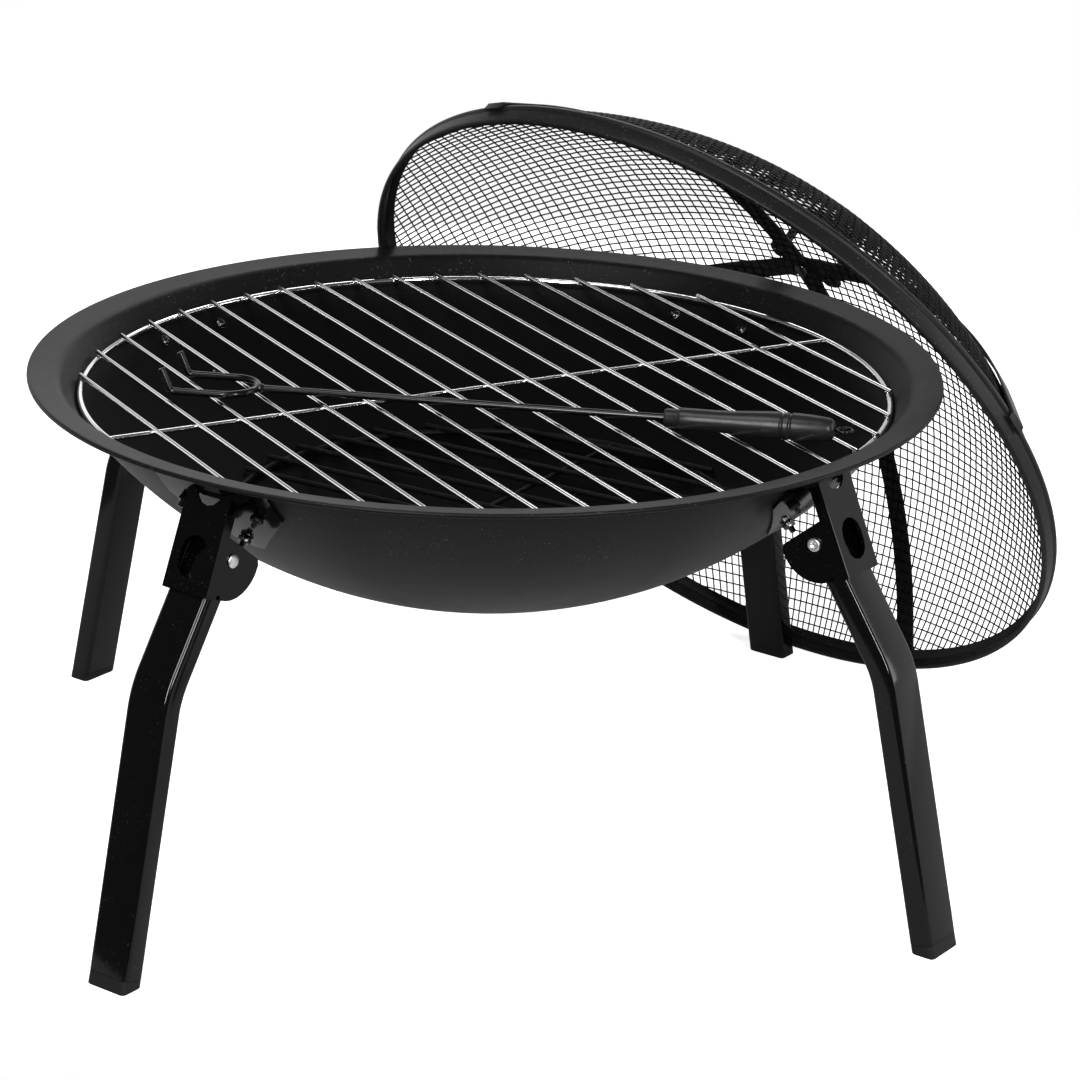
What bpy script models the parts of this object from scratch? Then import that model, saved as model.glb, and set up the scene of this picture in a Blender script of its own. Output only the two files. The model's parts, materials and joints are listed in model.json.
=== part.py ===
"""Fire bowl on four folding legs, with two grates, a poker and a mesh lid.

Metres, +Z up. The model is laid out with the bowl's axis on Z and the floor at
zero, and the root empty then puts the origin under the middle of its box. The
lid leans against the bowl's back right edge with its open side to the bowl.
"""
import math

import bmesh
import bpy
from mathutils import Matrix, Vector
from mathutils.bvhtree import BVHTree
from mathutils.geometry import delaunay_2d_cdt

# Clearances
FIT = 0.0003
HINGE_SIDE_GAP = 0.0004
BORE_GAP = 0.0003

# Bowl: a spherical dish of sheet with a narrow flange and a rolled lip
LIP_RADIUS = 0.2800
LIP_TOP = 0.2926
BOWL_CURVE = 0.3165
BOWL_BOTTOM = 0.1502
BOWL_WALL = 0.0012
FLANGE_SLOPE = math.radians(8.5)
FLANGE_FILLET = 0.0080
LIP_BEAD = 0.0030
LIP_ROLL = math.radians(200.0)

# Leg stations round the bowl
STATIONS = {
    "front_left": math.radians(-135.0),
    "front_right": math.radians(-45.0),
    "back_right": math.radians(45.0),
    "back_left": math.radians(135.0),
}

# Leg: a bent rectangular tube on a rivet, which hangs under the lip and off the dish's wall
PIVOT_DROP = 0.0546
PIVOT_OUT = 0.0348
LEG_WIDTH = 0.0290
LEG_DEPTH = 0.0150
LEG_WALL = 0.0012
LEG_CORNER = 0.0028
LEG_UPPER_SPLAY = math.radians(34.0)
LEG_LOWER_SPLAY = math.radians(13.0)
LEG_FOOT_OUT = 0.0938
LEG_BEND = 0.0600
LEG_HEAD = 0.0088
FOOT_CAP = 0.0050
FOOT_PLUG = 0.0080

# Bracket: one pressed sheet, a channel for the leg on a plate that hugs the bowl. Drops are from
# the lip's top, and offsets are from the pivot
SHEET = 0.0015
WEB_TOP_DROP = 0.0175
WEB_TOP_OUT = 0.0022
WEB_FOOT_OFFSET = (0.0242, -0.0157)
WEB_SHOULDER = 0.0030
WEB_SLOT_WIDTH = 0.0190
WEB_SLOT_LENGTH = 0.0250
WEB_SLOT_UP = 0.0205
WEB_HOLE = 0.0190
WEB_HOLE_UP = 0.0020
WEB_BEND = 0.0014
STOP_PAD_LENGTH = 0.0050
EAR_LOBE = 0.0236
EAR_LOBE_ARC = (math.radians(-62.0), math.radians(-158.0))
EAR_TIP = (-0.0216, -0.0050)
EAR_CUT = (0.0022, 0.0146)
EAR_CUT_DROP = 0.0236
EAR_NOTCH = 0.0034
EAR_NOTCH_IN = 0.0007
PLATE_HALF_WIDTH = 0.0425
PLATE_TIP_HALF_WIDTH = 0.0065
PLATE_TIP_DROP = 0.0594
PLATE_SHOULDER_DROP = 0.0286
PLATE_TOP_GAP = 0.0010

# Bracket screws: shank along the bowl's normal, head inside, nut outside
SCREW_SHANK = 0.0040
SCREW_HEAD = 0.0080
SCREW_HEAD_HEIGHT = 0.0021
SCREW_TIP = 0.0036
NUT_FLATS = 0.0070
NUT_HEIGHT = 0.0032
UPPER_SCREW_OFFSET = 0.0270
UPPER_SCREW_DROP = 0.0276
LOWER_SCREW_DROP = 0.0511

# Pivot rivets
RIVET_SHANK = 0.0052
RIVET_HEAD = 0.0084
RIVET_HEAD_HEIGHT = 0.0017

# Cooking grate: straight bars on a ring, with one bar square to them; its ring lies in the dish at
# a drop under the lip's top
COOK_WIRE = 0.0040
COOK_DROP = 0.0156
COOK_BAR = 0.0030
COOK_BAR_SPACING = 0.0275
COOK_BAR_COUNT = 17
COOK_BAR_OVERHANG = 0.0016
COOK_BAR_AZIMUTH = math.radians(-70.05)

# Charcoal grate: the same pattern, smaller, at a rise over the bowl's bottom
COAL_WIRE = 0.0040
COAL_RISE = 0.0472
COAL_BAR = 0.0034
COAL_BAR_SPACING = 0.0285
COAL_BAR_COUNT = 11
COAL_BAR_OVERHANG = 0.0070
COAL_BAR_AZIMUTH = math.radians(-40.0)
WELD = 0.0006
BAR_PLAY = 0.0030

# Poker: a two-pronged fork of rod, a shaft and a turned handle
POKER_ROD = 0.0045
POKER_APEX = (-0.1420, -0.0157)
POKER_AZIMUTH = math.radians(-20.8)
FORK_SPACING = 0.0360
FORK_REACH = 0.0490
FORK_TIP = 0.0138
FORK_TIP_LEAN = math.radians(21.0)
FORK_TIP_BEND = 0.0040
HANDLE_START = 0.2515
HANDLE_LENGTH = 0.1015
HANDLE_BELLY = 0.0083
HANDLE_BELLY_AT = 0.0640
HANDLE_GROOVE = 0.00075
HANDLE_GROOVE_WIDTH = 0.0026
HANDLE_GROOVES = (0.0050, 0.0100)
HANDLE_SOCKET = 0.0400
HANGER_WIRE = 0.0018
HANGER_RADIUS = 0.0046

# Lid: a rolled band, a dome of mesh, two crossed straps and a bail handle. It leans on the lip, and
# its distance from the bowl's axis follows from that
LID_RADIUS = 0.2580
LID_BAND_DEPTH = 0.0145
LID_BAND_SHEET = 0.0012
LID_BAND_LIP = 0.0024
LID_BEAD = 0.0009
LID_HEIGHT = 0.1330
LID_SKIN = 0.0010
LID_MESH_LAP = 0.0030
LID_SEAT_STEP = 0.00002
MESH_OPENINGS = 12
MESH_BAR = 0.0080
MESH_RIM = 0.0070
MESH_SMALLEST = 0.15
LID_TILT = math.radians(56.36)
LID_AZIMUTH = math.radians(42.78)
LID_SIDEWAYS = -0.0087
STRAP_WIDTH = 0.0155
STRAP_SHEET = 0.0015
STRAP_RISE = 0.0050
STRAP_END = 0.0045
STRAP_SHOULDER = 0.0050
STRAP_A_ANGLE = math.radians(73.0)
STRAP_B_ANGLE = math.radians(168.0)
HANDLE_PLATE = 0.0560
HANDLE_PLATE_SHEET = 0.0020
BAIL_ROD = 0.0064
BAIL_SPAN = 0.0400
BAIL_HEIGHT = 0.0400
BAIL_ANGLE = math.radians(31.0)
BAIL_CORNER = 0.0110
BAIL_STUD = 0.0040
BAIL_NUT_FLATS = 0.0070
BAIL_NUT_HEIGHT = 0.0024
LID_RIVET_SHANK = 0.0050
LID_RIVET_HEAD = 0.0110
LID_RIVET_HEAD_HEIGHT = 0.0020

# How finely the round pieces are faceted
BOWL_SEGMENTS = 56
DISH_STEPS = 8
LID_SEGMENTS = 44
WIRE_SIDES = 6
COOK_RING_SEGMENTS = 60
COAL_RING_SEGMENTS = 44
HOLE_SIDES = 12
SCREW_SIDES = 10

# The triangulation that leaves holes open
CDT_WITH_HOLES = 2

CENTRE_HEIGHT = BOWL_BOTTOM + BOWL_CURVE
INNER_CURVE = BOWL_CURVE - BOWL_WALL


def wall_radius(height, curve=BOWL_CURVE):
    """Return how far a sphere about the dish's centre is from the axis at a height."""
    return math.sqrt(curve ** 2 - (CENTRE_HEIGHT - height) ** 2)


PIVOT_HEIGHT = LIP_TOP - PIVOT_DROP
PIVOT_RADIUS = wall_radius(PIVOT_HEIGHT) + PIVOT_OUT
WEB_TOP = (wall_radius(LIP_TOP - WEB_TOP_DROP) + WEB_TOP_OUT, LIP_TOP - WEB_TOP_DROP)
WEB_FOOT = (PIVOT_RADIUS + WEB_FOOT_OFFSET[0], PIVOT_HEIGHT + WEB_FOOT_OFFSET[1])


def clear_scene():
    """Remove every object of the open scene."""
    for old in list(bpy.data.objects):
        bpy.data.objects.remove(old, do_unlink=True)


def finish(name, colour, roughness, metallic):
    """Return a new Principled material."""
    made = bpy.data.materials.new(name)
    made.use_nodes = True
    shader = made.node_tree.nodes["Principled BSDF"]
    shader.inputs["Base Color"].default_value = (*colour, 1.0)
    shader.inputs["Roughness"].default_value = roughness
    shader.inputs["Metallic"].default_value = metallic
    return made


def make_mesh(name, points, faces):
    """Return a mesh of points and faces, with its faces pointing out."""
    mesh = bpy.data.meshes.new(name)
    mesh.from_pydata([tuple(p) for p in points], [], faces)
    mesh.validate()
    mesh.update()
    volume = 0.0
    mesh.calc_loop_triangles()
    for triangle in mesh.loop_triangles:
        a, b, c = (mesh.vertices[i].co for i in triangle.vertices)
        volume += a.dot(b.cross(c))
    if volume < 0.0:
        mesh.flip_normals()
    return mesh


def place(name, mesh, colour, parent, location=(0, 0, 0), rotation=None, smooth=35.0):
    """Link one named piece with its own material under its parent."""
    piece = bpy.data.objects.new(name, mesh)
    bpy.context.scene.collection.objects.link(piece)
    piece.parent = parent
    piece.location = location
    if rotation is not None:
        piece.rotation_euler = rotation
    if not mesh.materials:
        mesh.materials.append(finish(name, *colour))
    mesh.shade_smooth()
    mesh.set_sharp_from_angle(angle=math.radians(smooth))
    return piece


def empty(name, parent, location=(0, 0, 0), rotation=(0, 0, 0)):
    """Link an empty that carries other pieces."""
    holder = bpy.data.objects.new(name, None)
    bpy.context.scene.collection.objects.link(holder)
    holder.parent = parent
    holder.location = location
    holder.rotation_euler = rotation
    return holder


def turned(name, profile, segments, closed=False):
    """Turn a profile of (radius, height) about Z.

    The profile runs with the material on its left when a closed loop, and from
    the bottom of the axis out and up to its top when open.
    """
    points, rings = [], []
    for radius, height in profile:
        if radius < 1e-7:
            rings.append([len(points)])
            points.append((0.0, 0.0, height))
            continue
        ring = []
        for step in range(segments):
            angle = 2.0 * math.pi * step / segments
            ring.append(len(points))
            points.append((radius * math.cos(angle), radius * math.sin(angle), height))
        rings.append(ring)
    faces = []
    pairs = list(zip(rings, rings[1:] + rings[:1] if closed else rings[1:]))
    for low, high in pairs:
        for step in range(segments):
            after = (step + 1) % segments
            if len(low) == 1 and len(high) == 1:
                continue
            if len(low) == 1:
                faces.append((low[0], high[after], high[step]))
            elif len(high) == 1:
                faces.append((low[step], low[after], high[0]))
            else:
                faces.append((low[step], low[after], high[after], high[step]))
    return make_mesh(name, points, faces)


def lofted(name, loops, closed=False):
    """Join equal loops of points by quads, with flat ends unless closed."""
    count = len(loops[0])
    points = [p for loop in loops for p in loop]
    faces = []
    last = len(loops) if closed else len(loops) - 1
    for row in range(last):
        start = row * count
        nxt = ((row + 1) % len(loops)) * count
        for col in range(count):
            after = (col + 1) % count
            faces.append((start + col, start + after, nxt + after, nxt + col))
    if not closed:
        faces.append(tuple(range(count - 1, -1, -1)))
        top = (len(loops) - 1) * count
        faces.append(tuple(range(top, top + count)))
    return make_mesh(name, points, faces)


def rod(name, path, radius, sides, closed=False):
    """Run a round rod along a path of points without twist."""
    path = [Vector(p) for p in path]
    count = len(path)
    tangents = []
    for i in range(count):
        before = path[i - 1] if i > 0 or closed else path[0]
        after = path[(i + 1) % count] if i < count - 1 or closed else path[-1]
        tangents.append((after - before).normalized())
    first = tangents[0]
    side = first.orthogonal().normalized()
    if abs(first.z) < 0.9:
        side = first.cross(Vector((0, 0, 1))).normalized()
    loops = []
    for point, tangent in zip(path, tangents):
        side = (side - tangent * side.dot(tangent)).normalized()
        other = tangent.cross(side)
        loop = []
        for step in range(sides):
            angle = 2.0 * math.pi * (step + 0.5) / sides
            loop.append(point + radius * (math.cos(angle) * side + math.sin(angle) * other))
        loops.append(loop)
    return lofted(name, loops, closed)


def prism(name, outline, low, high):
    """Extrude an outline of (x, z) points along Y, from low to high."""
    loops = [[Vector((x, y, z)) for x, z in outline] for y in (low, high)]
    area = sum(a[0] * b[1] - b[0] * a[1] for a, b in zip(outline, outline[1:] + outline[:1]))
    if area > 0.0:
        loops.reverse()
    return lofted(name, loops)


def rounded_edges(mesh, wanted, width, segments):
    """Bevel the edges of a mesh whose two end points pass a test."""
    shape = bmesh.new()
    shape.from_mesh(mesh)
    edges = [edge for edge in shape.edges if wanted(*(vertex.co for vertex in edge.verts))]
    bmesh.ops.bevel(shape, geom=edges, offset=width, segments=segments, profile=0.5, affect="EDGES")
    shape.to_mesh(mesh)
    shape.free()
    return mesh


def moved(mesh, matrix):
    """Return a copy of a mesh in another place."""
    copy = mesh.copy()
    copy.transform(matrix)
    return copy


def combined(mesh, others, operation):
    """Unite a mesh with others, or cut it by them."""
    bench = bpy.data.collections.new("bench")
    bpy.context.scene.collection.children.link(bench)
    host = bpy.data.objects.new("host", mesh)
    bench.objects.link(host)
    tools = []
    for other in others:
        tool = bpy.data.objects.new("tool", other)
        bench.objects.link(tool)
        tools.append(tool)
        step = host.modifiers.new("step", "BOOLEAN")
        step.operation = operation
        step.solver = "EXACT"
        step.object = tool
    depsgraph = bpy.context.evaluated_depsgraph_get()
    result = bpy.data.meshes.new_from_object(host.evaluated_get(depsgraph))
    result.name = mesh.name
    for used in [host] + tools:
        bpy.data.objects.remove(used, do_unlink=True)
    bpy.data.collections.remove(bench)
    return result


def sheet_profile(line, thickness):
    """Return the closed outline of a sheet of even thickness about a line."""
    left, right = [], []
    for i, point in enumerate(line):
        before = Vector(line[max(i - 1, 0)])
        after = Vector(line[min(i + 1, len(line) - 1)])
        along = (after - before).normalized()
        normal = Vector((-along.y, along.x))
        here = Vector(point)
        left.append(tuple(here + normal * thickness / 2.0))
        right.append(tuple(here - normal * thickness / 2.0))
    return right + left[::-1]


def arc(centre, radius, start, end, steps):
    """Return points of an arc in a plane, both ends included."""
    return [(centre[0] + radius * math.cos(start + (end - start) * i / steps),
             centre[1] + radius * math.sin(start + (end - start) * i / steps))
            for i in range(steps + 1)]


# Bowl


def flange_line(radius):
    """Return the height of the flange's middle surface at a radius."""
    return LIP_TOP - BOWL_WALL / 2.0 - (LIP_RADIUS - radius) * math.tan(FLANGE_SLOPE)


def fillet_centre():
    """Return the centre of the fillet that joins dish and flange, in the middle surface."""
    reach = BOWL_CURVE - BOWL_WALL / 2.0 + FLANGE_FILLET
    low, high = 0.5 * LIP_RADIUS, 1.2 * LIP_RADIUS
    for _ in range(60):
        radius = 0.5 * (low + high)
        height = flange_line(radius) - FLANGE_FILLET / math.cos(FLANGE_SLOPE)
        if math.hypot(radius, height - CENTRE_HEIGHT) < reach:
            low = radius
        else:
            high = radius
    return radius, height


def dish_angles(contact):
    """Return the angles of the dish's rings, closer together towards its rim."""
    return [contact * (i / DISH_STEPS) ** 0.8 for i in range(DISH_STEPS)]


def bowl_line():
    """Return the middle line of the bowl's sheet from its bottom to the rolled lip."""
    middle = BOWL_CURVE - BOWL_WALL / 2.0
    centre = fillet_centre()
    contact = math.atan2(centre[0], CENTRE_HEIGHT - centre[1])
    line = []
    for angle in dish_angles(contact):
        line.append((middle * math.sin(angle), CENTRE_HEIGHT - middle * math.cos(angle)))
    start = math.pi / 2.0 + contact
    line += arc(centre, FLANGE_FILLET, start, math.pi / 2.0 + FLANGE_SLOPE, 3)
    bead = (LIP_BEAD - BOWL_WALL) / 2.0
    bead_radius = LIP_RADIUS - LIP_BEAD / 2.0
    bead_centre = (bead_radius, flange_line(bead_radius) - bead / math.cos(FLANGE_SLOPE))
    top = math.pi / 2.0 + FLANGE_SLOPE
    line += arc(bead_centre, bead, top, top - LIP_ROLL, 4)
    return line


def facet_depth():
    """Return how far the dish's flat facets lie inside its true sphere, at most."""
    centre = fillet_centre()
    contact = math.atan2(centre[0], CENTRE_HEIGHT - centre[1])
    angles = dish_angles(contact) + [contact]
    step = angles[-1] - angles[-2]
    round_the_axis = BOWL_CURVE * math.sin(contact) * (1.0 - math.cos(math.pi / BOWL_SEGMENTS))
    return round_the_axis + BOWL_CURVE * (1.0 - math.cos(step / 2.0))


def fillet_foot():
    """Return the height where the round dish ends and the fillet begins."""
    centre = fillet_centre()
    contact = math.atan2(centre[0], CENTRE_HEIGHT - centre[1])
    return CENTRE_HEIGHT - BOWL_CURVE * math.cos(contact)


def screw_points():
    """Return where the bracket's three screws pass the dish, in a station's frame."""
    places = ((UPPER_SCREW_OFFSET, UPPER_SCREW_DROP), (-UPPER_SCREW_OFFSET, UPPER_SCREW_DROP),
              (0.0, LOWER_SCREW_DROP))
    found = []
    for sideways, drop in places:
        height = LIP_TOP - drop
        reach = math.sqrt(wall_radius(height) ** 2 - sideways ** 2)
        found.append(Vector((reach, sideways, height)))
    return found


def screw_frame(point):
    """Return the matrix whose Z leaves the dish along its normal at a point."""
    out = (point - Vector((0, 0, CENTRE_HEIGHT))).normalized()
    across = Vector((0, 1, 0)).cross(out).normalized()
    other = out.cross(across)
    turn = Matrix((across, other, out)).transposed().to_4x4()
    return Matrix.Translation(point) @ turn


def bowl_mesh():
    """Return the dish with the holes for its twelve bracket screws."""
    line = bowl_line()
    outline = sheet_profile(line, BOWL_WALL)
    half = len(line)
    lower = [(0.0, BOWL_BOTTOM)] + outline[1:half]
    upper = outline[half:-1] + [(0.0, BOWL_BOTTOM + BOWL_WALL)]
    dish = turned("bowl", lower + upper, BOWL_SEGMENTS)
    drill_radius = SCREW_SHANK / 2.0 + BORE_GAP
    reach = 4.0 * BOWL_WALL
    drill = turned("drill", [(0.0, -reach), (drill_radius, -reach), (drill_radius, reach),
                             (0.0, reach)], SCREW_SIDES)
    drills = []
    for azimuth in STATIONS.values():
        turn = Matrix.Rotation(azimuth, 4, "Z")
        drills += [moved(drill, turn @ screw_frame(point)) for point in screw_points()]
    return combined(dish, drills, "DIFFERENCE")


# Bracket, in its station's frame: X out from the bowl's axis, Y sideways


WEB_DIRECTION = (Vector(WEB_FOOT) - Vector(WEB_TOP)).normalized()
WEB_NORMAL = Vector((-WEB_DIRECTION.y, WEB_DIRECTION.x))
WEB_LENGTH = (Vector(WEB_FOOT) - Vector(WEB_TOP)).length
CHANNEL_HALF = LEG_WIDTH / 2.0 + HINGE_SIDE_GAP + SHEET


def web_frame(down):
    """Return the matrix at a distance down the web's outer face, with Z square to it."""
    spot = Vector(WEB_TOP) + WEB_DIRECTION * down
    out = Vector((WEB_NORMAL.x, 0, WEB_NORMAL.y))
    run = Vector((WEB_DIRECTION.x, 0, WEB_DIRECTION.y))
    turn = Matrix((run, out.cross(run), out)).transposed().to_4x4()
    return Matrix.Translation((spot.x, 0, spot.y)) @ turn


def leg_face_gap(point):
    """Return how far a point lies outside the leg's outer face at rest."""
    along = Vector((math.sin(LEG_UPPER_SPLAY), -math.cos(LEG_UPPER_SPLAY)))
    outward = Vector((-along.y, along.x))
    return (Vector(point) - Vector((PIVOT_RADIUS, PIVOT_HEIGHT))).dot(outward) - LEG_DEPTH / 2.0


def plate_mesh():
    """Return the plate that hugs the dish: wide above, narrow at its lower tip."""
    top = fillet_foot() - PLATE_TOP_GAP
    tip, shoulder = LIP_TOP - PLATE_TIP_DROP, LIP_TOP - PLATE_SHOULDER_DROP
    rows, cols = 5, 6
    loops_in, loops_out = [], []
    for row in range(rows + 1):
        height = tip + (top - tip) * row / rows
        share = min(1.0, (height - tip) / (shoulder - tip))
        half = PLATE_TIP_HALF_WIDTH + (PLATE_HALF_WIDTH - PLATE_TIP_HALF_WIDTH) * share
        for curve, rows_of in ((BOWL_CURVE + FIT, loops_in), (BOWL_CURVE + FIT + SHEET, loops_out)):
            base = Vector((0, 0, CENTRE_HEIGHT))
            line = []
            for col in range(cols + 1):
                sideways = half * (2.0 * col / cols - 1.0)
                reach = math.sqrt(wall_radius(height) ** 2 - sideways ** 2)
                spot = Vector((reach, sideways, height)) - base
                line.append(base + spot * (curve / BOWL_CURVE))
            rows_of.append(line)
    loops = [inner[::-1] + outer for inner, outer in zip(loops_in, loops_out)]
    return lofted("plate", loops)


def ear_outline():
    """Return the side outline of the channel: web, ears, lobe and the cut above the lobe."""
    seat = BOWL_CURVE + FIT + 0.6 * SHEET
    upper = WEB_TOP[1] + WEB_SHOULDER
    cut_top = LIP_TOP - EAR_CUT_DROP
    outline = [(wall_radius(upper, seat), upper), WEB_TOP, WEB_FOOT]
    pivot = (PIVOT_RADIUS, PIVOT_HEIGHT)
    outline += arc(pivot, EAR_LOBE, *EAR_LOBE_ARC, 8)
    outline.append((PIVOT_RADIUS + EAR_TIP[0], PIVOT_HEIGHT + EAR_TIP[1]))
    outline.append((PIVOT_RADIUS + EAR_CUT[0], PIVOT_HEIGHT + EAR_CUT[1]))
    outline.append((wall_radius(cut_top, seat), cut_top))
    return outline


def obround(name, width, length, depth_in, depth_out):
    """Return a cutter with round ends, long along X, cut along Z."""
    radius = width / 2.0
    half = length / 2.0 - radius
    outline = arc((half, 0.0), radius, -math.pi / 2.0, math.pi / 2.0, 6)
    outline += arc((-half, 0.0), radius, math.pi / 2.0, 1.5 * math.pi, 6)
    if half < 1e-6:
        outline = arc((0.0, 0.0), radius, 0.0, 2.0 * math.pi, HOLE_SIDES)[:-1]
    loops = [[Vector((x, y, z)) for x, y in outline] for z in (-depth_in, depth_out)]
    return lofted(name, loops)


def is_bend(one, other):
    """Tell whether an edge is one of the web's two long outer corners."""
    on_web = all(abs((Vector((p.x, p.z)) - Vector(WEB_TOP)).dot(WEB_NORMAL)) < 1e-5 for p in (one, other))
    return on_web and abs(one.y - other.y) < 1e-5 and abs((one - other).length - WEB_LENGTH) < 1e-5


def bracket_mesh():
    """Return the pressed bracket with its channel, plate, slots and holes."""
    block = prism("bracket", ear_outline(), -CHANNEL_HALF, CHANNEL_HALF)
    rounded_edges(block, is_bend, WEB_BEND, 2)
    top_in = Vector(WEB_TOP) - WEB_NORMAL * SHEET - WEB_DIRECTION * LEG_WIDTH
    foot_in = Vector(WEB_FOOT) - WEB_NORMAL * SHEET + WEB_DIRECTION * LEG_WIDTH
    behind = wall_radius(PIVOT_HEIGHT) - LEG_WIDTH
    inside = [tuple(top_in), tuple(foot_in), (behind, foot_in.y), (behind, top_in.y)]
    room = CHANNEL_HALF - SHEET
    channel = combined(block, [prism("room", inside, -room, room)], "DIFFERENCE")
    gap = leg_face_gap(Vector(WEB_FOOT) - WEB_NORMAL * SHEET)
    extra = []
    if gap > 2.0 * FIT:
        extra.append(stop_pad(gap - FIT))
    body = combined(channel, [plate_mesh()] + extra, "UNION")
    cutters = [moved(obround("slot", WEB_SLOT_WIDTH, WEB_SLOT_LENGTH, 2.5 * SHEET, SHEET),
                     web_frame(WEB_LENGTH - WEB_SLOT_UP)),
               moved(obround("hole", WEB_HOLE, WEB_HOLE, 2.7 * SHEET, 6.0 * SHEET),
                     web_frame(-WEB_HOLE_UP))]
    cutters += side_drills(CHANNEL_HALF + SHEET, RIVET_SHANK / 2.0 + BORE_GAP,
                           (PIVOT_RADIUS, PIVOT_HEIGHT))
    cutters += side_drills(CHANNEL_HALF + SHEET, EAR_NOTCH / 2.0, notch_point())
    drill_radius = SCREW_SHANK / 2.0 + BORE_GAP
    drill = turned("drill", [(0.0, -SHEET), (drill_radius, -SHEET), (drill_radius, 3.0 * SHEET),
                             (0.0, 3.0 * SHEET)], SCREW_SIDES)
    cutters += [moved(drill, screw_frame(point)) for point in screw_points()]
    return combined(body, cutters, "DIFFERENCE")


def notch_point():
    """Return where the leg's detent is pressed into the ears, on the leg's middle line."""
    reach = EAR_LOBE - EAR_NOTCH_IN
    return PIVOT_RADIUS + reach * math.sin(LEG_UPPER_SPLAY), PIVOT_HEIGHT - reach * math.cos(LEG_UPPER_SPLAY)


def stop_pad(depth):
    """Return the folded foot of the web that the open leg rests on."""
    foot = Vector(WEB_FOOT) - WEB_NORMAL * SHEET
    start = foot - WEB_DIRECTION * STOP_PAD_LENGTH
    along = Vector((math.sin(LEG_UPPER_SPLAY), -math.cos(LEG_UPPER_SPLAY)))
    outward = Vector((-along.y, along.x))
    face_a = foot - outward * depth
    face_b = start - outward * max(leg_face_gap(start) - FIT, FIT)
    back = WEB_NORMAL * SHEET * 0.5
    outline = [tuple(foot + back), tuple(start + back), tuple(face_b), tuple(face_a)]
    half = CHANNEL_HALF - SHEET * 0.5
    return prism("pad", outline, -half, half)


def side_drills(half, radius, point):
    """Return a cutter that runs across the channel at a point."""
    outline = arc(point, radius, 0.0, 2.0 * math.pi, HOLE_SIDES)[:-1]
    return [prism("drill", outline, -half, half)]


# Leg


def leg_knee():
    """Return where the middle lines of the leg's two runs meet, and where the lower one ends."""
    half = LEG_DEPTH / 2.0
    foot = PIVOT_RADIUS + LEG_FOOT_OUT - half / math.cos(LEG_LOWER_SPLAY)
    slope_up, slope_low = math.tan(LEG_UPPER_SPLAY), math.tan(LEG_LOWER_SPLAY)
    height = (PIVOT_RADIUS + PIVOT_HEIGHT * slope_up - foot) / (slope_up - slope_low)
    return Vector((foot - slope_low * height, height)), Vector((foot, 0.0))


def leg_path(end_gap):
    """Return (point, direction) pairs down the leg's middle line, to end_gap above the floor."""
    upper = Vector((math.sin(LEG_UPPER_SPLAY), -math.cos(LEG_UPPER_SPLAY)))
    lower = Vector((math.sin(LEG_LOWER_SPLAY), -math.cos(LEG_LOWER_SPLAY)))
    knee, foot = leg_knee()
    pivot = Vector((PIVOT_RADIUS, PIVOT_HEIGHT))
    turn = LEG_UPPER_SPLAY - LEG_LOWER_SPLAY
    setback = LEG_BEND * math.tan(turn / 2.0)
    path = [(pivot - upper * LEG_HEAD, upper), (knee - upper * setback, upper)]
    centre = knee - upper * setback + Vector((upper.y, -upper.x)) * LEG_BEND
    steps = 4
    for i in range(1, steps):
        angle = LEG_UPPER_SPLAY - turn * i / steps
        direction = Vector((math.sin(angle), -math.cos(angle)))
        path.append((centre + Vector((-direction.y, direction.x)) * LEG_BEND, direction))
    path.append((knee + lower * setback, lower))
    path.append((foot - lower * end_gap, lower))
    return path


def tube_loop(point, direction, width, depth, corner):
    """Return a rounded rectangle square to the leg's path."""
    out = Vector((-direction.y, direction.x))
    loop = []
    for sign_x, sign_y, start in ((1, 1, 0.0), (-1, 1, 0.5), (-1, -1, 1.0), (1, -1, 1.5)):
        middle = (sign_x * (depth / 2.0 - corner), sign_y * (width / 2.0 - corner))
        for x, y in arc(middle, corner, start * math.pi, (start + 0.5) * math.pi, 2):
            spot = point + out * x
            loop.append(Vector((spot.x - PIVOT_RADIUS, y, spot.y - PIVOT_HEIGHT)))
    return loop


def foot_gap():
    """Return how far up the lower run the tube ends above the cap."""
    return LEG_DEPTH / 2.0 * math.tan(LEG_LOWER_SPLAY) + FOOT_CAP + FIT


def leg_mesh():
    """Return the hollow leg, open at both ends, with its rivet bore; origin on the pivot."""
    path = leg_path(foot_gap())
    inner_corner = max(LEG_CORNER - LEG_WALL, 0.0004)
    outer = [tube_loop(p, d, LEG_WIDTH, LEG_DEPTH, LEG_CORNER) for p, d in path]
    inner = [tube_loop(p, d, LEG_WIDTH - 2.0 * LEG_WALL, LEG_DEPTH - 2.0 * LEG_WALL, inner_corner)
             for p, d in path]
    tube = lofted("leg", (outer + inner[::-1])[::-1], closed=True)
    reach = LEG_WIDTH
    return combined(tube, side_drills(reach, RIVET_SHANK / 2.0 + BORE_GAP, (0.0, 0.0)), "DIFFERENCE")


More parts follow.
